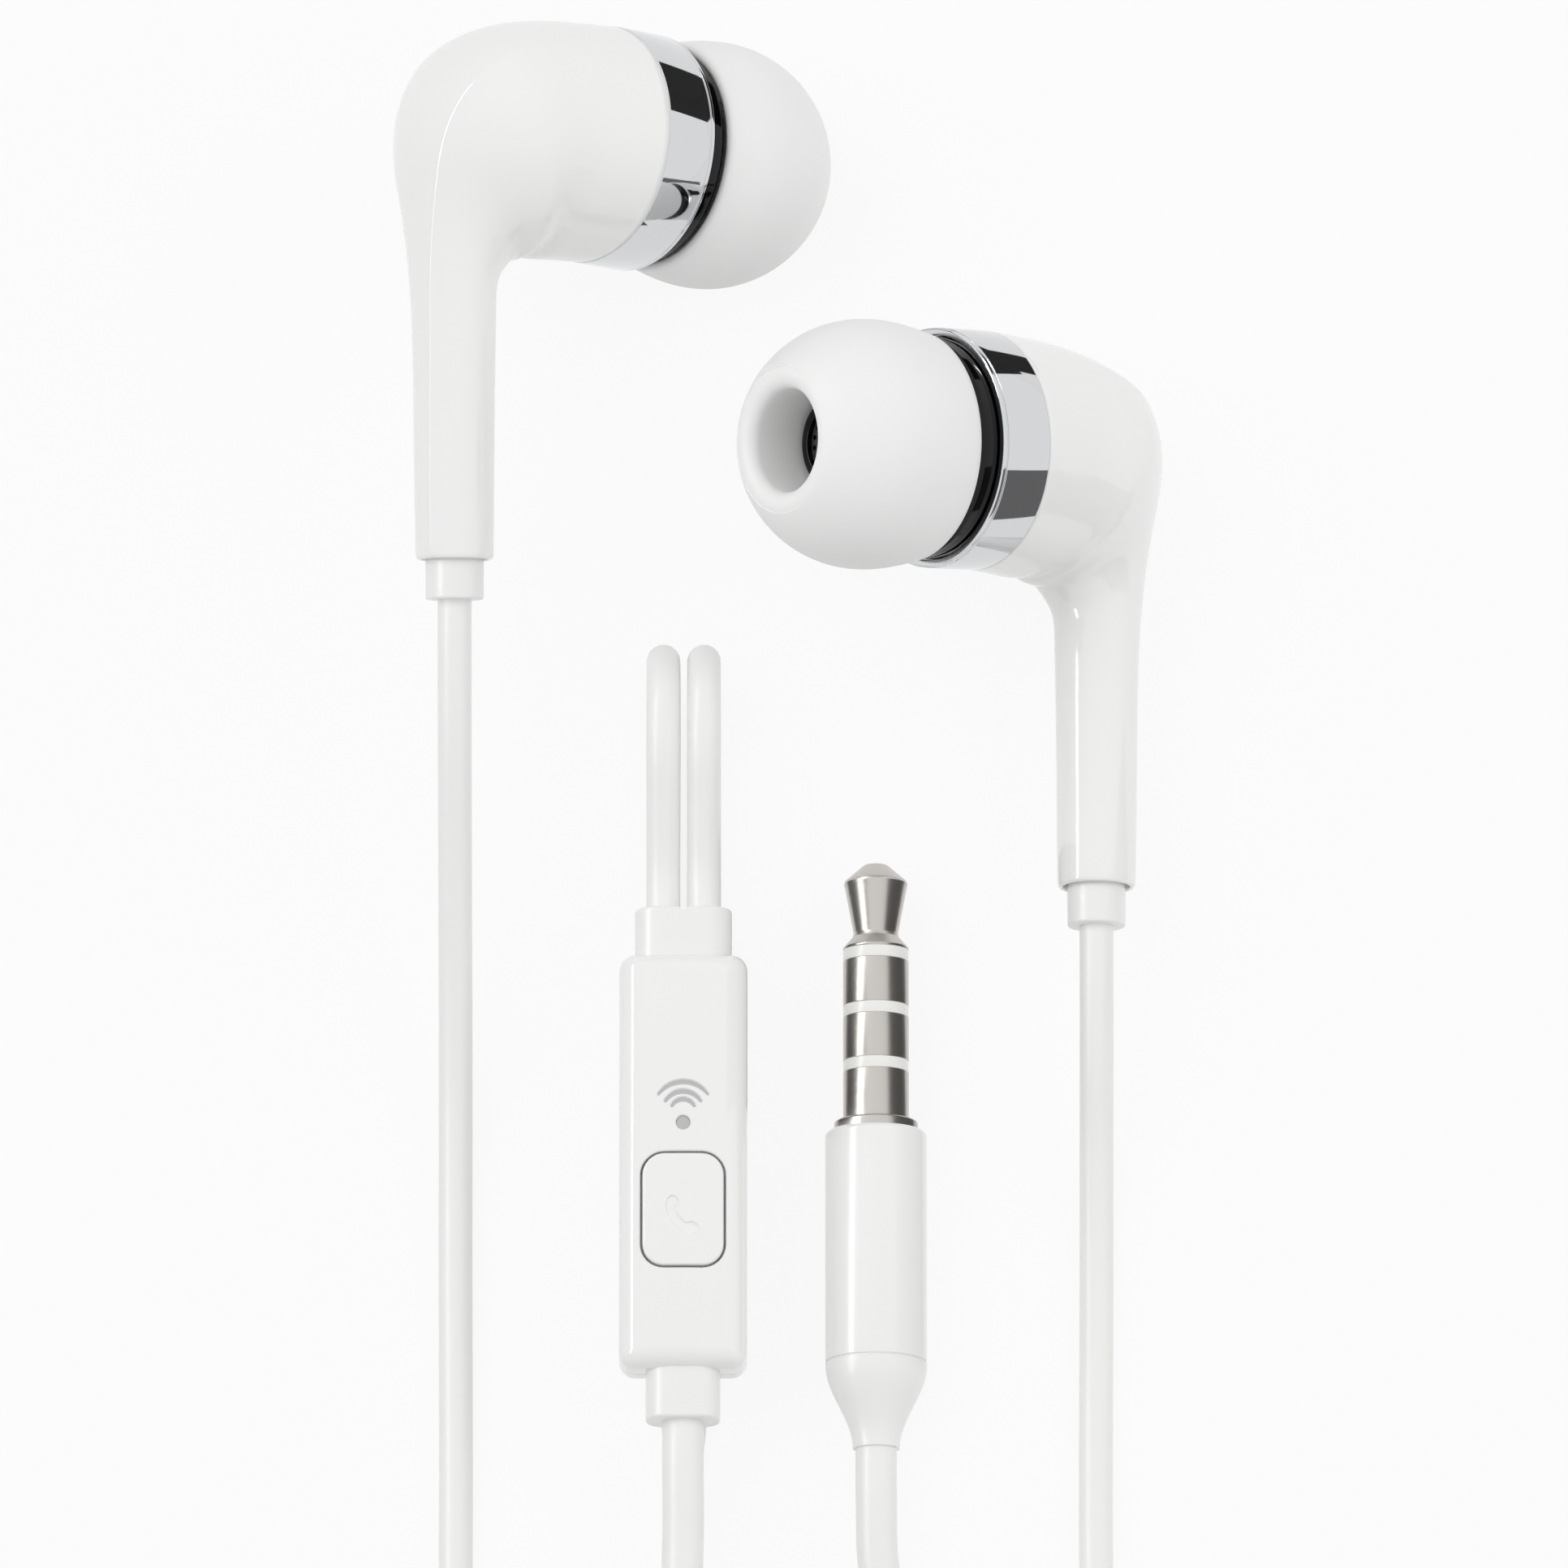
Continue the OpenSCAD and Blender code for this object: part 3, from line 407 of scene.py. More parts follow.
def revolved(outline, corner=0.0, steps=ROUND_STEPS):
    """A solid of revolution about Z from an outline of radius and height."""
    bm = bmesh.new()
    points = [bm.verts.new((r, 0, h)) for r, h in outline]
    for before, point in zip(points[-1:] + points, points):
        if before.co.x > 0 or point.co.x > 0:
            bm.edges.new((before, point))
    if corner:
        bmesh.ops.bevel(bm, geom=[p for p in points if p.co.x > 0], offset=corner, segments=3,
                        profile=0.5, affect="VERTICES", material=-1, clamp_overlap=True)
    bmesh.ops.spin(bm, geom=bm.verts[:] + bm.edges[:], cent=(0, 0, 0), axis=(0, 0, 1),
                   angle=math.tau, steps=steps, use_merge=True)
    return bm


def arc(centre, radius, start, end, steps):
    """Points on a circle in the plane of radius and height, angles in degrees."""
    angles = [math.radians(start + (end - start) * k / steps) for k in range(steps + 1)]
    return [(centre[0] + radius * math.cos(a), centre[1] + radius * math.sin(a)) for a in angles]


# Chrome over moulded ABS: a mirror with the faintest ripple
chrome = finish("polished chrome plate", {
    "Base Color": linear("#d4d5d7"), "Metallic": 1.0}, 1.5, (0.03, 0.06), 0.0002)
# The same gloss in black, so deep that the gap between ring and tip reads as a dark line
gloss_black = finish("gloss black ABS", {
    "Base Color": linear("#040405"), "IOR": 1.54, "Specular IOR Level": 0.25},
    1.8, (0.05, 0.10), 0.0006)
# Liquid silicone, cast in a blasted mould: matte, milky, light goes a millimetre in
silicone = finish("translucent silicone", {
    "Base Color": linear("#fafaf9"), "IOR": 1.41, "Subsurface Weight": 0.4,
    "Subsurface Radius": (1, 1, 1), "Subsurface Scale": 0.9 * MM}, 0.35, (0.48, 0.58), 0.003)

RING_OUTLINE = [
    (5.6, SEAM_S), (6.38, SEAM_S), (6.4, SEAM_S + 0.04), (6.4, RING_FRONT_S - 0.32),
    (6.33, RING_FRONT_S - 0.3), (6.33, RING_FRONT_S - 0.24), (6.38, RING_FRONT_S - 0.22),
    (6.38, RING_FRONT_S - 0.05), (6.3, RING_FRONT_S), (6.0, RING_FRONT_S),
    (6.0, RING_FRONT_S - 0.25), (5.6, RING_FRONT_S - 0.25),
]
FRONT_OUTLINE = [
    (5.45, SEAM_S - 1.5), (5.45, RING_FRONT_S - 0.25), (5.9, RING_FRONT_S - 0.25),
    (5.9, SKIRT_S - 0.4), (5.55, SKIRT_S), (3.1, NOZZLE_BASE_S - 0.35),
    (2.5, NOZZLE_BASE_S - 0.3), (2.5, NOZZLE_BASE_S), (2.2, NOZZLE_BASE_S + 0.05),
    (2.2, NOZZLE_END_S - 1.3), (2.62, NOZZLE_END_S - 0.9), (2.62, NOZZLE_END_S - 0.6),
    (2.3, NOZZLE_END_S), (1.85, NOZZLE_END_S), (1.85, NOZZLE_END_S - 0.5),
    (1.6, NOZZLE_END_S - 0.5), (1.6, NOZZLE_BASE_S - 0.6), (4.85, SKIRT_S - 0.6),
    (4.85, SEAM_S - 1.5),
]
# Skirt's lip, its swell to the widest ring, the dome, the rolled mouth, the bore, and back
# inside the dome
TIP_OUTLINE = (
    [(TIP_R - 0.98, SKIRT_S + 0.12), (TIP_R - 0.9, SKIRT_S + 0.02), (TIP_R - 0.74, SKIRT_S)]
    + [(TIP_R - 0.5 + 0.5 * math.sin(math.radians(9 * k)), SKIRT_S + 0.12 + 3.18 * k / 10)
       for k in range(11)]
    + [(TIP_R * math.cos(math.radians(3 * k)),
        WIDEST_S + TIP_DOME[0] * math.sin(math.radians(3 * k))) for k in range(1, 19)]
    + arc((TIP_BORE_R + MOUTH_R, SKIRT_S + TIP_LEN - MOUTH_R), MOUTH_R, 53, 180, 14)
    + [(TIP_BORE_R, NOZZLE_BASE_S - 0.1), (TIP_BORE_R + 0.75, NOZZLE_BASE_S - 0.1),
       (TIP_BORE_R + 0.75, WIDEST_S + 3.15)]
    + [((TIP_R - TIP_WALL) * math.cos(math.radians(2.9 * k)),
        WIDEST_S + TIP_DOME[1] * math.sin(math.radians(2.9 * k))) for k in range(16, -1, -1)]
)
for side, bud in BUDS.items():
    make(f"{side}_chrome_ring", revolved(RING_OUTLINE, 0.02), bud @ HEAD_AXIS, chrome,
         nodes=[f"{side}_trim_ring"], sharp=50)
    make(f"{side}_black_front", revolved(FRONT_OUTLINE, 0.05), bud @ HEAD_AXIS, gloss_black,
         nodes=[f"{side}_front_housing"])
    make(f"{side}_silicone_tip", revolved(TIP_OUTLINE), bud @ HEAD_AXIS, silicone,
         body=f"{side}_ear_tip", nodes=[f"{side}_ear_tip"], sharp=60)

# ---- Stem collars ----
# A soft elastomer sleeve is pushed up into the open end of each stem and grips the cord.
COLLAR_R = 1.55
COLLAR_LEN = 2.1
# Soft moulded elastomer: satin, with blurred highlights
soft_white = finish("moulded elastomer", {
    "Base Color": linear("#f5f5f4"), "IOR": 1.5, "Subsurface Weight": 0.12,
    "Subsurface Radius": (1, 1, 1), "Subsurface Scale": 0.4 * MM}, 0.45, (0.30, 0.40), 0.003)
COLLAR_OUTLINE = [
    (0, 0), (COLLAR_R - 0.06, 0), (COLLAR_R, 0.08), (COLLAR_R, COLLAR_LEN - 0.1),
    (COLLAR_R - 0.02, COLLAR_LEN), (COLLAR_R - 0.02, COLLAR_LEN + 3.6), (0, COLLAR_LEN + 3.6),
]
ALONG_Y = Matrix.Rotation(math.radians(-90), 4, "X")
for side, bud in BUDS.items():
    collar_place = bud @ Matrix.Translation((0, COLLAR_END_Y, 0)) @ ALONG_Y
    make(f"{side}_collar", revolved(COLLAR_OUTLINE, 0.05), collar_place, soft_white,
         nodes=[f"{side}_stem_collar"])

# ---- Remote housing ----
# Two moulded halves in the same gloss ABS snap together round the circuit board. The front
# half has the button's opening, a microphone hole and three sunk arcs above it.
REMOTE = TABLE @ Matrix.Translation(REMOTE_AT)
REMOTE_SIZE = Vector((6.8, 22.4, 4.8))
PLAN_R = 0.85
EDGE_R = 1.1
SPLIT_Z = 2.2
PARTING_R = 0.06
FLOOR_Z = 1.5
ROOF_Z = 3.9
CAVITY = (5.2, 19.8)
BUTTON_Y = -2.8
BUTTON_SIZE = (4.3, 6.05)
BUTTON_CORNER = 1.15
BUTTON_GAP = 0.13
BROKEN_EDGE = 0.06
CROWN_R = 14
CROWN_STRIP = 0.41
CORNER_STEPS = 8
MIC_Y = 1.9
MIC_R = 0.38
ARC_CENTRE_Y = MIC_Y + 0.57
ARCS = [
    # middle radius, half width in the middle and at the ends, half spread in degrees
    (0.68, 0.14, 0.10, 60), (1.11, 0.15, 0.10, 57), (1.63, 0.15, 0.09, 53),
]
SIGN_DEPTH = 0.12
SIGN_DRAFT = 0.03


def plan(width, length, corner, height):
    """Points round an upright block's outline at one height."""
    ring = []
    for quarter, (x, y) in enumerate(((1, 1), (-1, 1), (-1, -1), (1, -1))):
        middle = (x * (width / 2 - corner), y * (length / 2 - corner))
        ring += [(*point, height)
                 for point in arc(middle, corner, 90 * quarter, 90 * quarter + 90, CORNER_STEPS)]
    return ring


def slab(width, length, low, high, corner, top_r=0.0, bottom_r=0.0):
    """A block with round corners in plan and round long edges."""
    rings = []
    for level, radius, up in ((low, bottom_r, -1), (high, top_r, 1)):
        turns = [k / CORNER_STEPS for k in range(CORNER_STEPS + 1)] if radius else [0]
        for turn in turns if up > 0 else reversed(turns):
            angle = math.radians(90 * turn)
            inset = radius * (1 - math.cos(angle))
            rings.append(plan(width - 2 * inset, length - 2 * inset, max(corner - inset, 0.1),
                              level - up * radius * (1 - math.sin(angle))))
    return lofted(rings)[0]


def flared(width, length, corner, surface):
    """A cutter for an opening right through, which breaks its edge at the surface."""
    wide = 2 * BROKEN_EDGE
    return lofted([
        plan(width, length, corner, -1), plan(width, length, corner, surface - BROKEN_EDGE),
        plan(width + wide, length + wide, corner + BROKEN_EDGE, surface),
        plan(width + wide, length + wide, corner + BROKEN_EDGE, surface + 1)])[0]


def moved(bm, x, y, turn=0.0):
    """The mesh turned about Z and moved."""
    matrix = Matrix.Translation((x, y, 0)) @ Matrix.Rotation(math.radians(turn), 4, "Z")
    bmesh.ops.transform(bm, matrix=matrix, verts=bm.verts)
    return bm


def sunk(outline_at, surface):
    """A cutter for a shallow sign with sloping walls, from its outline at a given growth."""
    return lofted([[(x, y, height) for x, y in outline_at(growth)] for growth, height in (
        (-SIGN_DRAFT, surface - SIGN_DEPTH), (SIGN_DRAFT, surface), (SIGN_DRAFT, surface + 1))])[0]


def carve(bm, cutters):
    """The mesh less each cutter; the cutters are used up."""
    for cutter in cutters:
        pair = []
        for source in (bm, cutter):
            bmesh.ops.remove_doubles(source, verts=source.verts, dist=1e-5)
            bmesh.ops.recalc_face_normals(source, faces=source.faces)
            mesh = bpy.data.meshes.new("carving")
            source.to_mesh(mesh)
            source.free()
            pair.append(bpy.data.objects.new("carving", mesh))
            scene.collection.objects.link(pair[-1])
        tool = pair[0].modifiers.new("cut", "BOOLEAN")
        tool.object, tool.solver, tool.operation = pair[1], "EXACT", "DIFFERENCE"
        view_layer = bpy.context.evaluated_depsgraph_get()
        result = bpy.data.meshes.new_from_object(pair[0].evaluated_get(view_layer))
        bm = bmesh.new()
        bm.from_mesh(result)
        for spare in pair:
            bpy.data.meshes.remove(spare.data)
        bpy.data.meshes.remove(result)
    return bm


def crowned(bm, low, high):
    """The block with its top bowed down to both sides, cut into strips for that."""
    for k in range(-7, 8):
        bmesh.ops.bisect_plane(bm, geom=bm.verts[:] + bm.edges[:] + bm.faces[:],
                               plane_co=(CROWN_STRIP * k, 0, 0), plane_no=(1, 0, 0))
    for vertex in bm.verts:
        share = max(0, (vertex.co.z - low) / (high - low))
        vertex.co.z -= share * vertex.co.x ** 2 / (2 * CROWN_R)
    return bm


def sound_arc(radius, middle_half, end_half, spread):
    """The outline of one sunk arc, round at both ends, at a given growth."""
    def outline(growth):
        def side(way):
            run = []
            for k in range(25):
                share = 2 * k / 24 - 1
                half = middle_half + (end_half - middle_half) * share ** 2 + growth
                angle = 90 + spread * share
                run += arc((0, 0), radius + way * half, angle, angle, 1)[:1]
            return run[::way]
        ends = []
        for angle, start in ((90 + spread, 90 + spread), (90 - spread, 270 - spread)):
            middle = arc((0, 0), radius, angle, angle, 1)[0]
            ends.append(arc(middle, end_half + growth, start, start + 180, 6)[1:-1])
        return side(1) + ends[0] + side(-1) + ends[1]
    return outline


back = slab(*REMOTE_SIZE.xy, 0, SPLIT_Z, PLAN_R, top_r=PARTING_R, bottom_r=EDGE_R)
back = carve(back, [slab(*CAVITY, FLOOR_Z, 5, 0.3)])
make("remote_back", back, REMOTE, gloss_white, nodes=["remote_back_shell"])
front = slab(*REMOTE_SIZE.xy, SPLIT_Z, REMOTE_SIZE.z, PLAN_R, top_r=EDGE_R, bottom_r=PARTING_R)
opening = flared(BUTTON_SIZE[0] + 2 * BUTTON_GAP, BUTTON_SIZE[1] + 2 * BUTTON_GAP,
                 BUTTON_CORNER + BUTTON_GAP, REMOTE_SIZE.z)
front = carve(front, [
    slab(*CAVITY, 0, ROOF_Z, 0.3), moved(opening, 0, BUTTON_Y),
    moved(flared(2 * MIC_R, 2 * MIC_R, MIC_R - 0.001, REMOTE_SIZE.z), 0, MIC_Y),
    *[moved(sunk(sound_arc(*sizes), REMOTE_SIZE.z), 0, ARC_CENTRE_Y) for sizes in ARCS]])
# The floors of the sunk arcs are painted grey and duller than the shell round them: painted shade,
# darker than the recesses would render by themselves
painted_recess_shade = finish("grey painted recess shade", {
    "Base Color": linear("#bdbdbe"), "IOR": 1.5}, 0.3, (0.35, 0.5), 0.002)
# Faces on the arcs' floors take the second paint, the grey painted shade
for face in front.faces:
    if abs(face.calc_center_median().z - REMOTE_SIZE.z + SIGN_DEPTH) < 0.01:
        face.material_index = 1
make("remote_front", crowned(front, SPLIT_Z, REMOTE_SIZE.z), REMOTE, gloss_white,
     nodes=["remote_front_shell"], recess_shade_paint=painted_recess_shade)
# A felt disc keeps dust out of the microphone: dull and woolly at the bottom of the hole
felt_grey = finish("pressed grey felt", {
    "Base Color": linear("#c2c2c1"), "IOR": 1.45}, 0.09, (0.8, 0.95), 0.01)
FELT_T = 0.14
FELT_Z = REMOTE_SIZE.z - 0.26
felt = revolved([(0, FELT_Z), (MIC_R - 0.01, FELT_Z), (MIC_R - 0.01, FELT_Z + FELT_T),
                 (0, FELT_Z + FELT_T)], 0.02, 32)
make("mic_felt", moved(felt, 0, MIC_Y), REMOTE, felt_grey)

# ---- Call button ----
# A gloss ABS cap with a slightly crowned face and a sunk handset sign. A flange under the
# roof keeps it in, and it clicks a quarter of a millimetre down on its switch.
CAP_FLANGE_Z = 3.5
CAP_FLANGE_T = 0.35
CAP_FLANGE_REACH = 0.6
CAP_TOP_Z = 4.92
CAP_EDGE_R = 0.14
HANDSET = [
    (-0.93, 0.27), (-0.83, -0.23), (-0.52, -0.73), (-0.1, -1.12), (0.36, -1.35),
    (0.66, -1.36), (0.87, -1.08), (0.76, -0.86), (0.40, -0.70), (0.19, -0.77),
    (-0.24, -0.33), (-0.43, 0.04), (-0.28, 0.22), (-0.24, 0.46), (-0.50, 0.71), (-0.80, 0.58),
]


def handset(growth):
    """The outline of the handset sign at a given growth."""
    looped = HANDSET[-2:] + HANDSET + HANDSET[:2]
    run = through([(x, y, 0) for x, y in looped], per_span=4)[8:-5]
    grown = []
    for before, point, after in zip(run[-1:] + run, run, run[1:] + run[:1]):
        along = (after - before).normalized()
        grown.append((point.x + growth * along.y, point.y - growth * along.x))
    return grown


cap = slab(*BUTTON_SIZE, CAP_FLANGE_Z, CAP_TOP_Z, BUTTON_CORNER, top_r=CAP_EDGE_R)
cap = crowned(carve(cap, [sunk(handset, CAP_TOP_Z)]), SPLIT_Z, CAP_TOP_Z)
make("call_button", moved(cap, 0, BUTTON_Y), REMOTE, gloss_white, body="button",
     nodes=["button_cap"])
flange = slab(BUTTON_SIZE[0] + CAP_FLANGE_REACH, BUTTON_SIZE[1] + CAP_FLANGE_REACH,
              CAP_FLANGE_Z, CAP_FLANGE_Z + CAP_FLANGE_T, BUTTON_CORNER)
make("call_button_flange", moved(flange, 0, BUTTON_Y), REMOTE, gloss_white, body="button")

# ---- Grommets ----
# Soft elastomer ends moulded on the cords, held in the remote's end walls. The top one is
# wide enough for both branch cords and has a small notch between them.
GROMMET_LEN = 2.65
GROMMET_T = 3.3
GROMMET_CORNER = 1.3
GROMMET_EDGE_R = 0.18
TOP_GROMMET_W = 5.15
BOTTOM_GROMMET_W = 3.95
NOTCH = 0.5
END_WALL = 1.3


def grommet(width):
    """A round-edged block that stands out of the end wall along +Y, with a neck behind it."""
    bm = slab(width, GROMMET_T, -END_WALL, GROMMET_LEN, GROMMET_CORNER,
              top_r=GROMMET_EDGE_R)
    turn = Matrix.Translation((0, REMOTE_SIZE.y / 2, CORD_EXIT_Z)) @ ALONG_Y
    bmesh.ops.transform(bm, matrix=turn, verts=bm.verts)
    return bm


notch = slab(NOTCH, NOTCH, -1, 7, 0.05)
top_grommet = carve(grommet(TOP_GROMMET_W),
                    [moved(notch, 0, REMOTE_SIZE.y / 2 + GROMMET_LEN + 0.05, turn=45)])
make("top_grommet", top_grommet, REMOTE, soft_white, nodes=["remote_top_grommet"])
make("bottom_grommet", grommet(BOTTOM_GROMMET_W), REMOTE @ Matrix.Rotation(math.pi, 4, "Z"),
     soft_white, nodes=["remote_bottom_grommet"])

# ---- Plug ----
# Four turned brass contacts, nickel plated, are stacked with white insulating rings on one
# core, and a white grip is moulded over their back end and runs down to the cord.
PLUG = TABLE @ Matrix.Translation(PLUG_AT) @ ALONG_Y
JACK_R = 1.75
CORE_R = 0.9
CONTACT_ENDS = (2.65, 5.65, 8.70)
INSULATOR_LEN = 0.62
JACK_LEN = 14
FLANGE_R = 2.23
FLANGE_T = 0.55
GRIP_R = 2.7
GRIP_LEN = 12.5
RELIEF_LEN = 4.7
RELIEF_STEPS = 20
BARREL_STEPS = 96

# Nickel over turned brass: soft vertical bands of light and dark instead of a mirror
nickel = finish("satin nickel plate", {
    "Base Color": linear("#c9c5c0"), "Metallic": 1.0}, 0.25, (0.28, 0.33), 0.0004)
# Hard moulded rings, flush with the metal: plain white with a low sheen
insulator_white = finish("moulded insulator", {
    "Base Color": linear("#f3f3f0"), "IOR": 1.5}, 0.6, (0.25, 0.35), 0.002)


def band(low, high, radius=JACK_R):
    """One ring of the barrel, with its corners just broken."""
    return revolved([(CORE_R, low), (radius, low), (radius, high), (CORE_R, high)], 0.03,
                    BARREL_STEPS)


lower, upper = [end + INSULATOR_LEN for end in CONTACT_ENDS[:2]], CONTACT_ENDS[1:]
for name, bm, node in (
        ("plug_sleeve_band", band(-0.02, CONTACT_ENDS[0]), "plug_sleeve"),
        ("plug_lower_band", band(lower[0], upper[0]), "plug_ring_lower"),
        ("plug_upper_band", band(lower[1], upper[1]), "plug_ring_upper")):
    make(name, bm, PLUG, nickel, nodes=[node])
make("plug_flange", revolved(
    [(CORE_R, -FLANGE_T), (FLANGE_R, -FLANGE_T), (FLANGE_R, -0.1), (FLANGE_R - 0.1, 0),
     (CORE_R, 0)], 0.04, BARREL_STEPS), PLUG, nickel)
for k, low in enumerate(CONTACT_ENDS):
    make(
        f"plug_insulator_{k + 1}", band(low, low + INSULATOR_LEN, JACK_R - 0.01), PLUG,
        insulator_white, nodes=["plug_insulators"] if k == 0 else [])
TIP_LOW = CONTACT_ENDS[2] + INSULATOR_LEN
TIP_CONTACT = [
    (0, -FLANGE_T), (CORE_R, -FLANGE_T), (CORE_R, TIP_LOW), (JACK_R, TIP_LOW),
    (JACK_R, TIP_LOW + 0.12), (1.25, TIP_LOW + 0.7), (1.18, TIP_LOW + 0.92),
    (1.64, JACK_LEN - 1.3), (1.7, JACK_LEN - 1.06), (1.64, JACK_LEN - 0.9),
    (0.66, JACK_LEN - 0.04), (0.56, JACK_LEN), (0, JACK_LEN),
]
make("plug_tip_contact", revolved(TIP_CONTACT, 0.04, BARREL_STEPS), PLUG,
                        nickel, nodes=["plug_tip"])
# Satin grip: moulded elastomer with a slightly harder, smoother skin than the relief
grip_white = finish("moulded satin grip", {
    "Base Color": linear("#f7f7f6"), "IOR": 1.5, "Subsurface Weight": 0.08,
    "Subsurface Radius": (1, 1, 1), "Subsurface Scale": 0.3 * MM}, 0.3, (0.22, 0.26), 0.0015)
grip = [(0, -FLANGE_T), (GRIP_R - 0.2, -FLANGE_T), (GRIP_R, -FLANGE_T - 0.2),
        (GRIP_R, -FLANGE_T - GRIP_LEN), (0, -FLANGE_T - GRIP_LEN)]
make("plug_grip_sleeve", revolved(grip, 0.07), PLUG, grip_white,
                        nodes=["plug_grip"])
RELIEF_R = MAIN_D / 2 + 0.15
relief_top = -FLANGE_T - GRIP_LEN
relief = [(0, relief_top - RELIEF_LEN), (0, relief_top), (GRIP_R - 0.1, relief_top),
          (GRIP_R - 0.1, relief_top - 0.05), (GRIP_R, relief_top - 0.1)]
for k in range(1, RELIEF_STEPS + 1):
    fall = 0.5 + 0.5 * math.cos(math.pi * k / RELIEF_STEPS)
    relief.append((RELIEF_R + (GRIP_R - RELIEF_R) * fall,
                   relief_top - RELIEF_LEN * (0.03 + 0.97 * k / RELIEF_STEPS)))
make("plug_relief", revolved(relief), PLUG, soft_white,
                        nodes=["plug_strain_relief"])

# ---- Inner pieces ----
# The driver, the screen in each nozzle's mouth and the remote's board stay inside their
# housings. Plated pieces shine, the film and the board have a low sheen, rubber is dull.
steel = finish("zinc-plated steel", {
    "Base Color": linear("#9c9ea3"), "Metallic": 1.0}, 0.5, (0.25, 0.4), 0.001)
magnet_plate = finish("nickel-plated magnet", {
    "Base Color": linear("#8f8f93"), "Metallic": 1.0}, 0.8, (0.12, 0.2), 0.001)
copper = finish("enamelled copper wire", {
    "Base Color": linear("#b5642c"), "Metallic": 0.9}, 0.12, (0.3, 0.4), 0.008)
film = finish("pressed film", {
    "Base Color": linear("#e6dcb8"), "IOR": 1.6}, 0.6, (0.2, 0.35), 0.002)
frame_plastic = finish("moulded frame", {
    "Base Color": linear("#c9c9c8"), "IOR": 1.5}, 0.7, (0.4, 0.55), 0.002)
board = finish("solder mask board", {
    "Base Color": linear("#175a2c"), "IOR": 1.55}, 0.7, (0.2, 0.35), 0.003)
screen = finish("woven steel screen", {
    "Base Color": linear("#5c5d60"), "Metallic": 1.0}, 0.12, (0.3, 0.45), 0.004)
gasket = finish("black gasket rubber", {
    "Base Color": linear("#1c1c1d"), "IOR": 1.5}, 0.3, (0.6, 0.75), 0.004)
inner = {"driver_frame": frame_plastic, "yoke": steel, "magnet": magnet_plate,
         "pole_piece": steel, "voice_coil": copper, "diaphragm": film, "nozzle_mesh": screen}
plain_nodes = {f"{side}_{part}": paint for side in BUDS for part, paint in inner.items()}
plain_nodes |= {"remote_circuit_board": board, "remote_switch": steel,
                "remote_microphone": magnet_plate, "remote_mic_gasket": gasket}
for node_name, paint in plain_nodes.items():
    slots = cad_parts[node_name].data.materials
    slots.clear()
    slots.append(paint)

# ---- Table, cards and light ----
# A pale table under even studio light, with a soft box up on the left and one on the right that
# stay out of the reflections. A strip box and five grey cards show in reflections only, as the
# highlight along the spine and the dark bands on the metal.
GLOW_SHARE = 0.88
SKY_LEVEL = 0.59
TABLE_HALF = 8000
TABLE_Z = -0.05


def seen_directly(paint):
    """1 for what the camera sees, also in a reflection or through a clear piece."""
    path = add(paint, "ShaderNodeLightPath", {})
    seen = add(paint, "ShaderNodeMath", {0: path.outputs["Is Camera Ray"],
                                         1: path.outputs["Is Glossy Ray"]}, operation="MAXIMUM")
    return add(paint, "ShaderNodeMath", {0: seen.outputs[0],
                                         1: path.outputs["Is Transmission Ray"]},
               operation="MAXIMUM").outputs[0]


def staged(name, paint, corners):
    """A flat stage piece between corners in mm, which isn't part of the object."""
    sheet = bmesh.new()
    bmesh.ops.create_grid(sheet, x_segments=1, y_segments=1, size=1)
    around = sorted(sheet.verts, key=lambda v: math.atan2(v.co.y, v.co.x))
    for vertex, corner in zip(around, corners):
        vertex.co = MM * Vector(corner)
    mesh = bpy.data.meshes.new(name)
    sheet.to_mesh(mesh)
    sheet.free()
    mesh.materials.append(paint)
    piece = bpy.data.objects.new(name, mesh)
    scene.collection.objects.link(piece)
    return piece


def card_paint(name, code):
    """Dull board in one colour."""
    paint = bpy.data.materials.new(name)
    paint.use_nodes = True
    shader = paint.node_tree.nodes["Principled BSDF"]
    shader.inputs["Base Color"].default_value = linear(code)
    shader.inputs["Roughness"].default_value = 0.9
    shader.inputs["Specular IOR Level"].default_value = 0.0
    return paint


table_paint = card_paint("table", "#ececec")
glow = add(table_paint, "ShaderNodeEmission", {"Color": (1, 1, 1, 1), "Strength": 1.0})
share = add(table_paint, "ShaderNodeMath", {0: seen_directly(table_paint), 1: GLOW_SHARE},
            operation="MULTIPLY")
blend = add(table_paint, "ShaderNodeMixShader", {
    0: share.outputs[0], 1: table_paint.node_tree.nodes["Principled BSDF"].outputs[0],
    2: glow.outputs[0]})
table_paint.node_tree.links.new(
    blend.outputs[0], table_paint.node_tree.nodes["Material Output"].inputs["Surface"])
staged("table", table_paint, [(x * TABLE_HALF, y * TABLE_HALF, TABLE_Z)
                              for x, y in ((-1, -1), (1, -1), (1, 1), (-1, 1))])

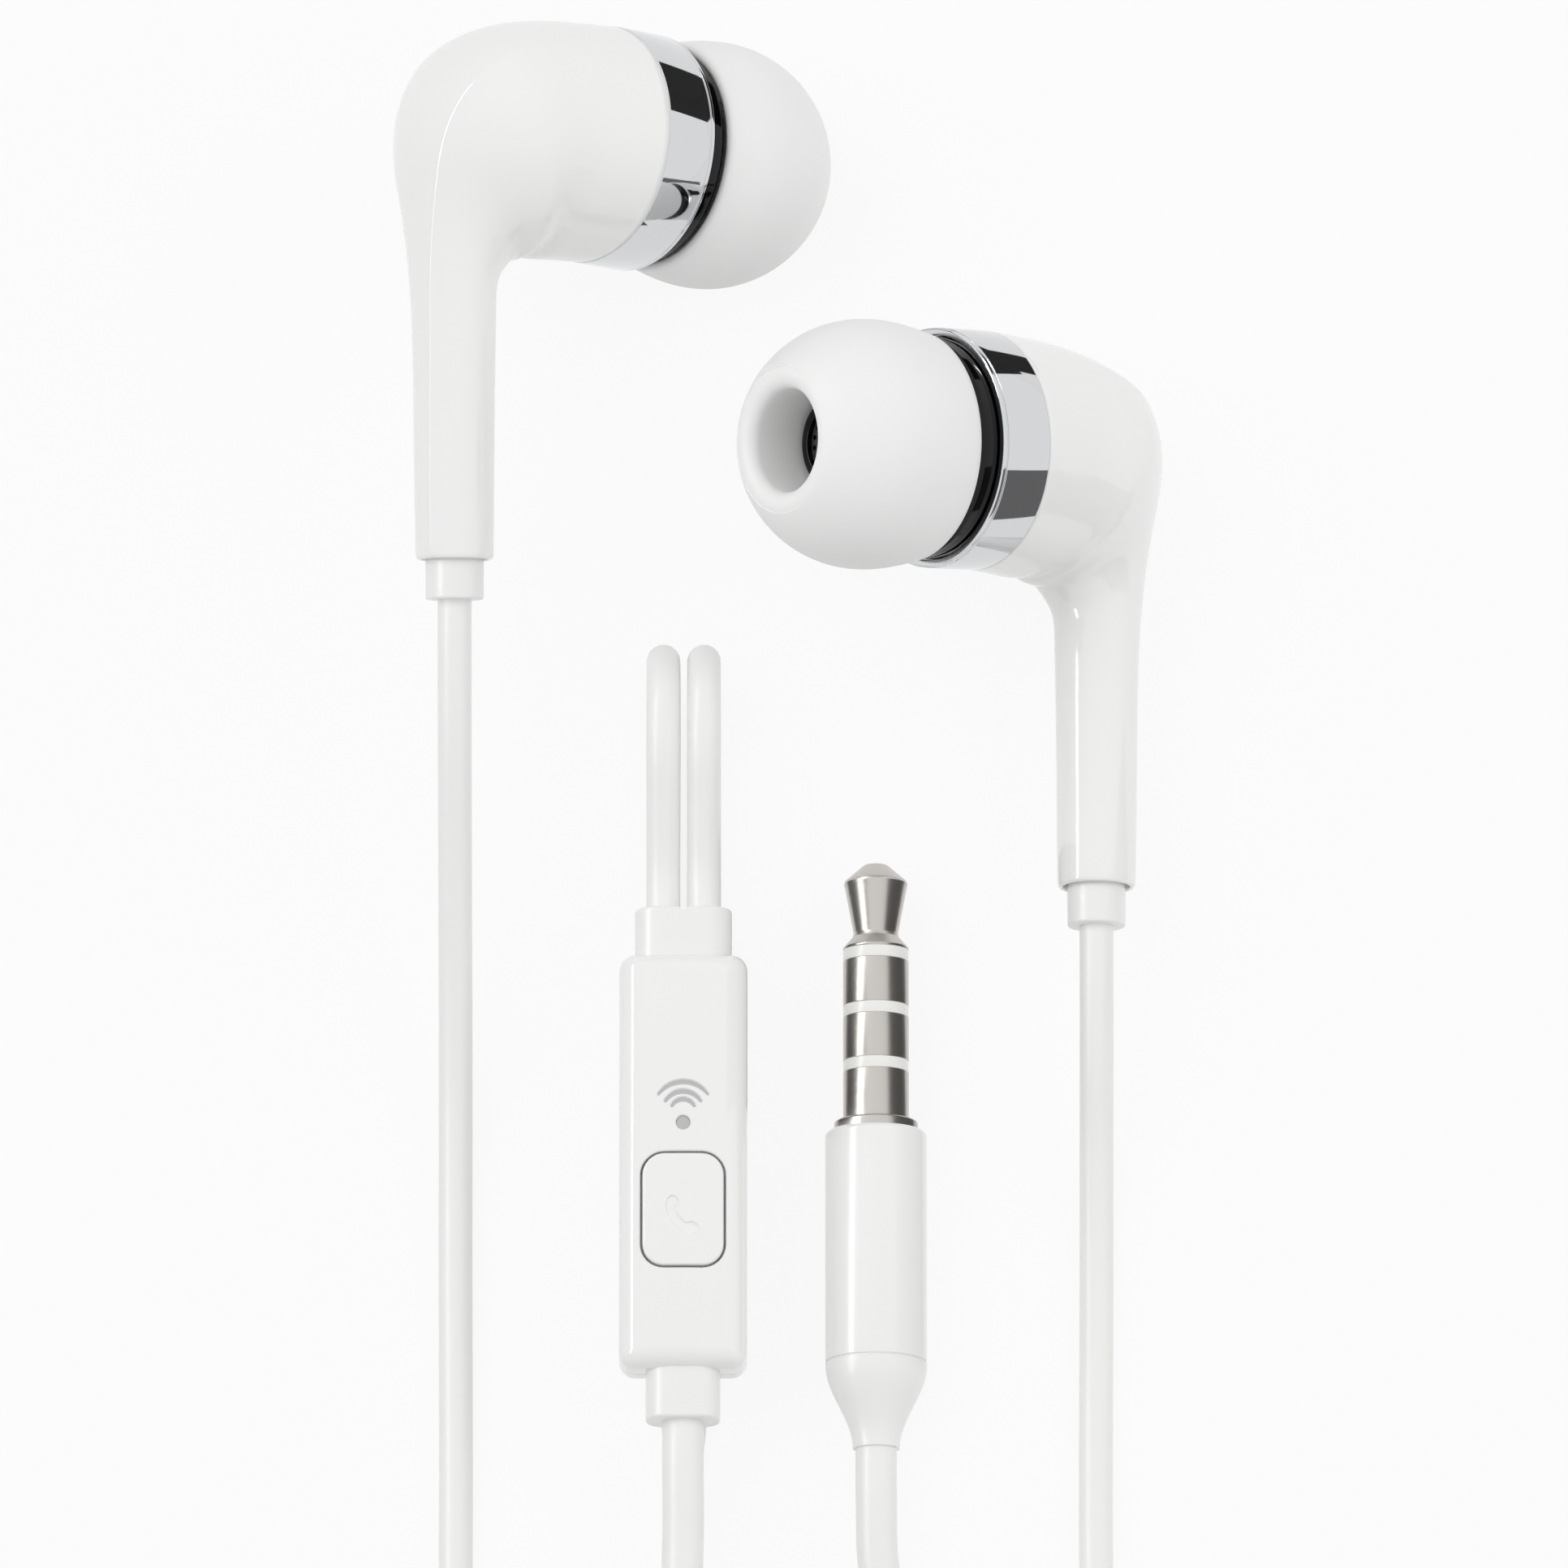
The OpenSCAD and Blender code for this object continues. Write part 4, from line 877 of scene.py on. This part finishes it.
CARDS = [
    # name, corners in mm, colour
    ("left ring card",
     [(19.7, 59.6, -1.2), (11.5, 69.3, 7.6), (29.3, 48.4, 28.6), (33.3, 43.6, 13.6)], "#3a3a3a"),
    ("right ring card",
     [(20.4, 54.4, 5.6), (32.4, 47.6, -2.6), (38.9, 43.9, 7.0), (28.8, 49.7, 17.9)], "#3a3a3a"),
    ("right low card",
     [(41.4, -4.6, 34.1), (48.9, 6.2, 9.4), (41.3, -4.8, -2.2), (27.7, -24.3, 12.7)], "#7c7c7c"),
    ("plug left card",
     [(-0.8, -20.5, 0), (-0.8, -5.5, 0), (-0.8, -5.5, 12), (-0.8, -20.5, 12)], "#707070"),
    ("plug right card",
     [(11.5, -34, 0), (11.5, -5.5, 0), (11.5, -5.5, 10), (11.5, -34, 10)], "#707070"),
]
for name, corners, code in CARDS:
    card = staged(name, card_paint(name, code), corners)
    card.visible_camera = card.visible_diffuse = card.visible_shadow = False
    card.visible_transmission = card.visible_volume_scatter = False

world = scene.world or bpy.data.worlds.new("studio")
scene.world = world
world.use_nodes = True
level = add(world, "ShaderNodeMapRange",
            {"Value": seen_directly(world), "To Min": SKY_LEVEL, "To Max": 1.0})
background = world.node_tree.nodes["Background"]
background.inputs["Color"].default_value = (1, 1, 1, 1)
world.node_tree.links.new(level.outputs["Result"], background.inputs["Strength"])

LAMPS = [
    # name, place in metres, size in metres, watts, whether it only shows in reflections
    ("key box", (-0.52, 0.2, 0.8), (0.8, 0.8), 3.0, False),
    ("strip box", (-0.56, 0.16, 0.38), (0.8, 0.05), 3.4, True),
    ("fill box", (0.8, 0.1, 0.6), (0.9, 0.9), 2.5, False),
]
for name, place, size, watts, in_gloss in LAMPS:
    lamp = bpy.data.lights.new(name, "AREA")
    lamp.shape = "RECTANGLE"
    lamp.size, lamp.size_y = size
    lamp.energy = watts
    light = bpy.data.objects.new(name, lamp)
    scene.collection.objects.link(light)
    light.location = place
    light.visible_glossy, light.visible_diffuse = in_gloss, not in_gloss
    light.rotation_euler = (-Vector(place)).to_track_quat("-Z", "Y").to_euler()

scene.view_settings.view_transform = "Standard"
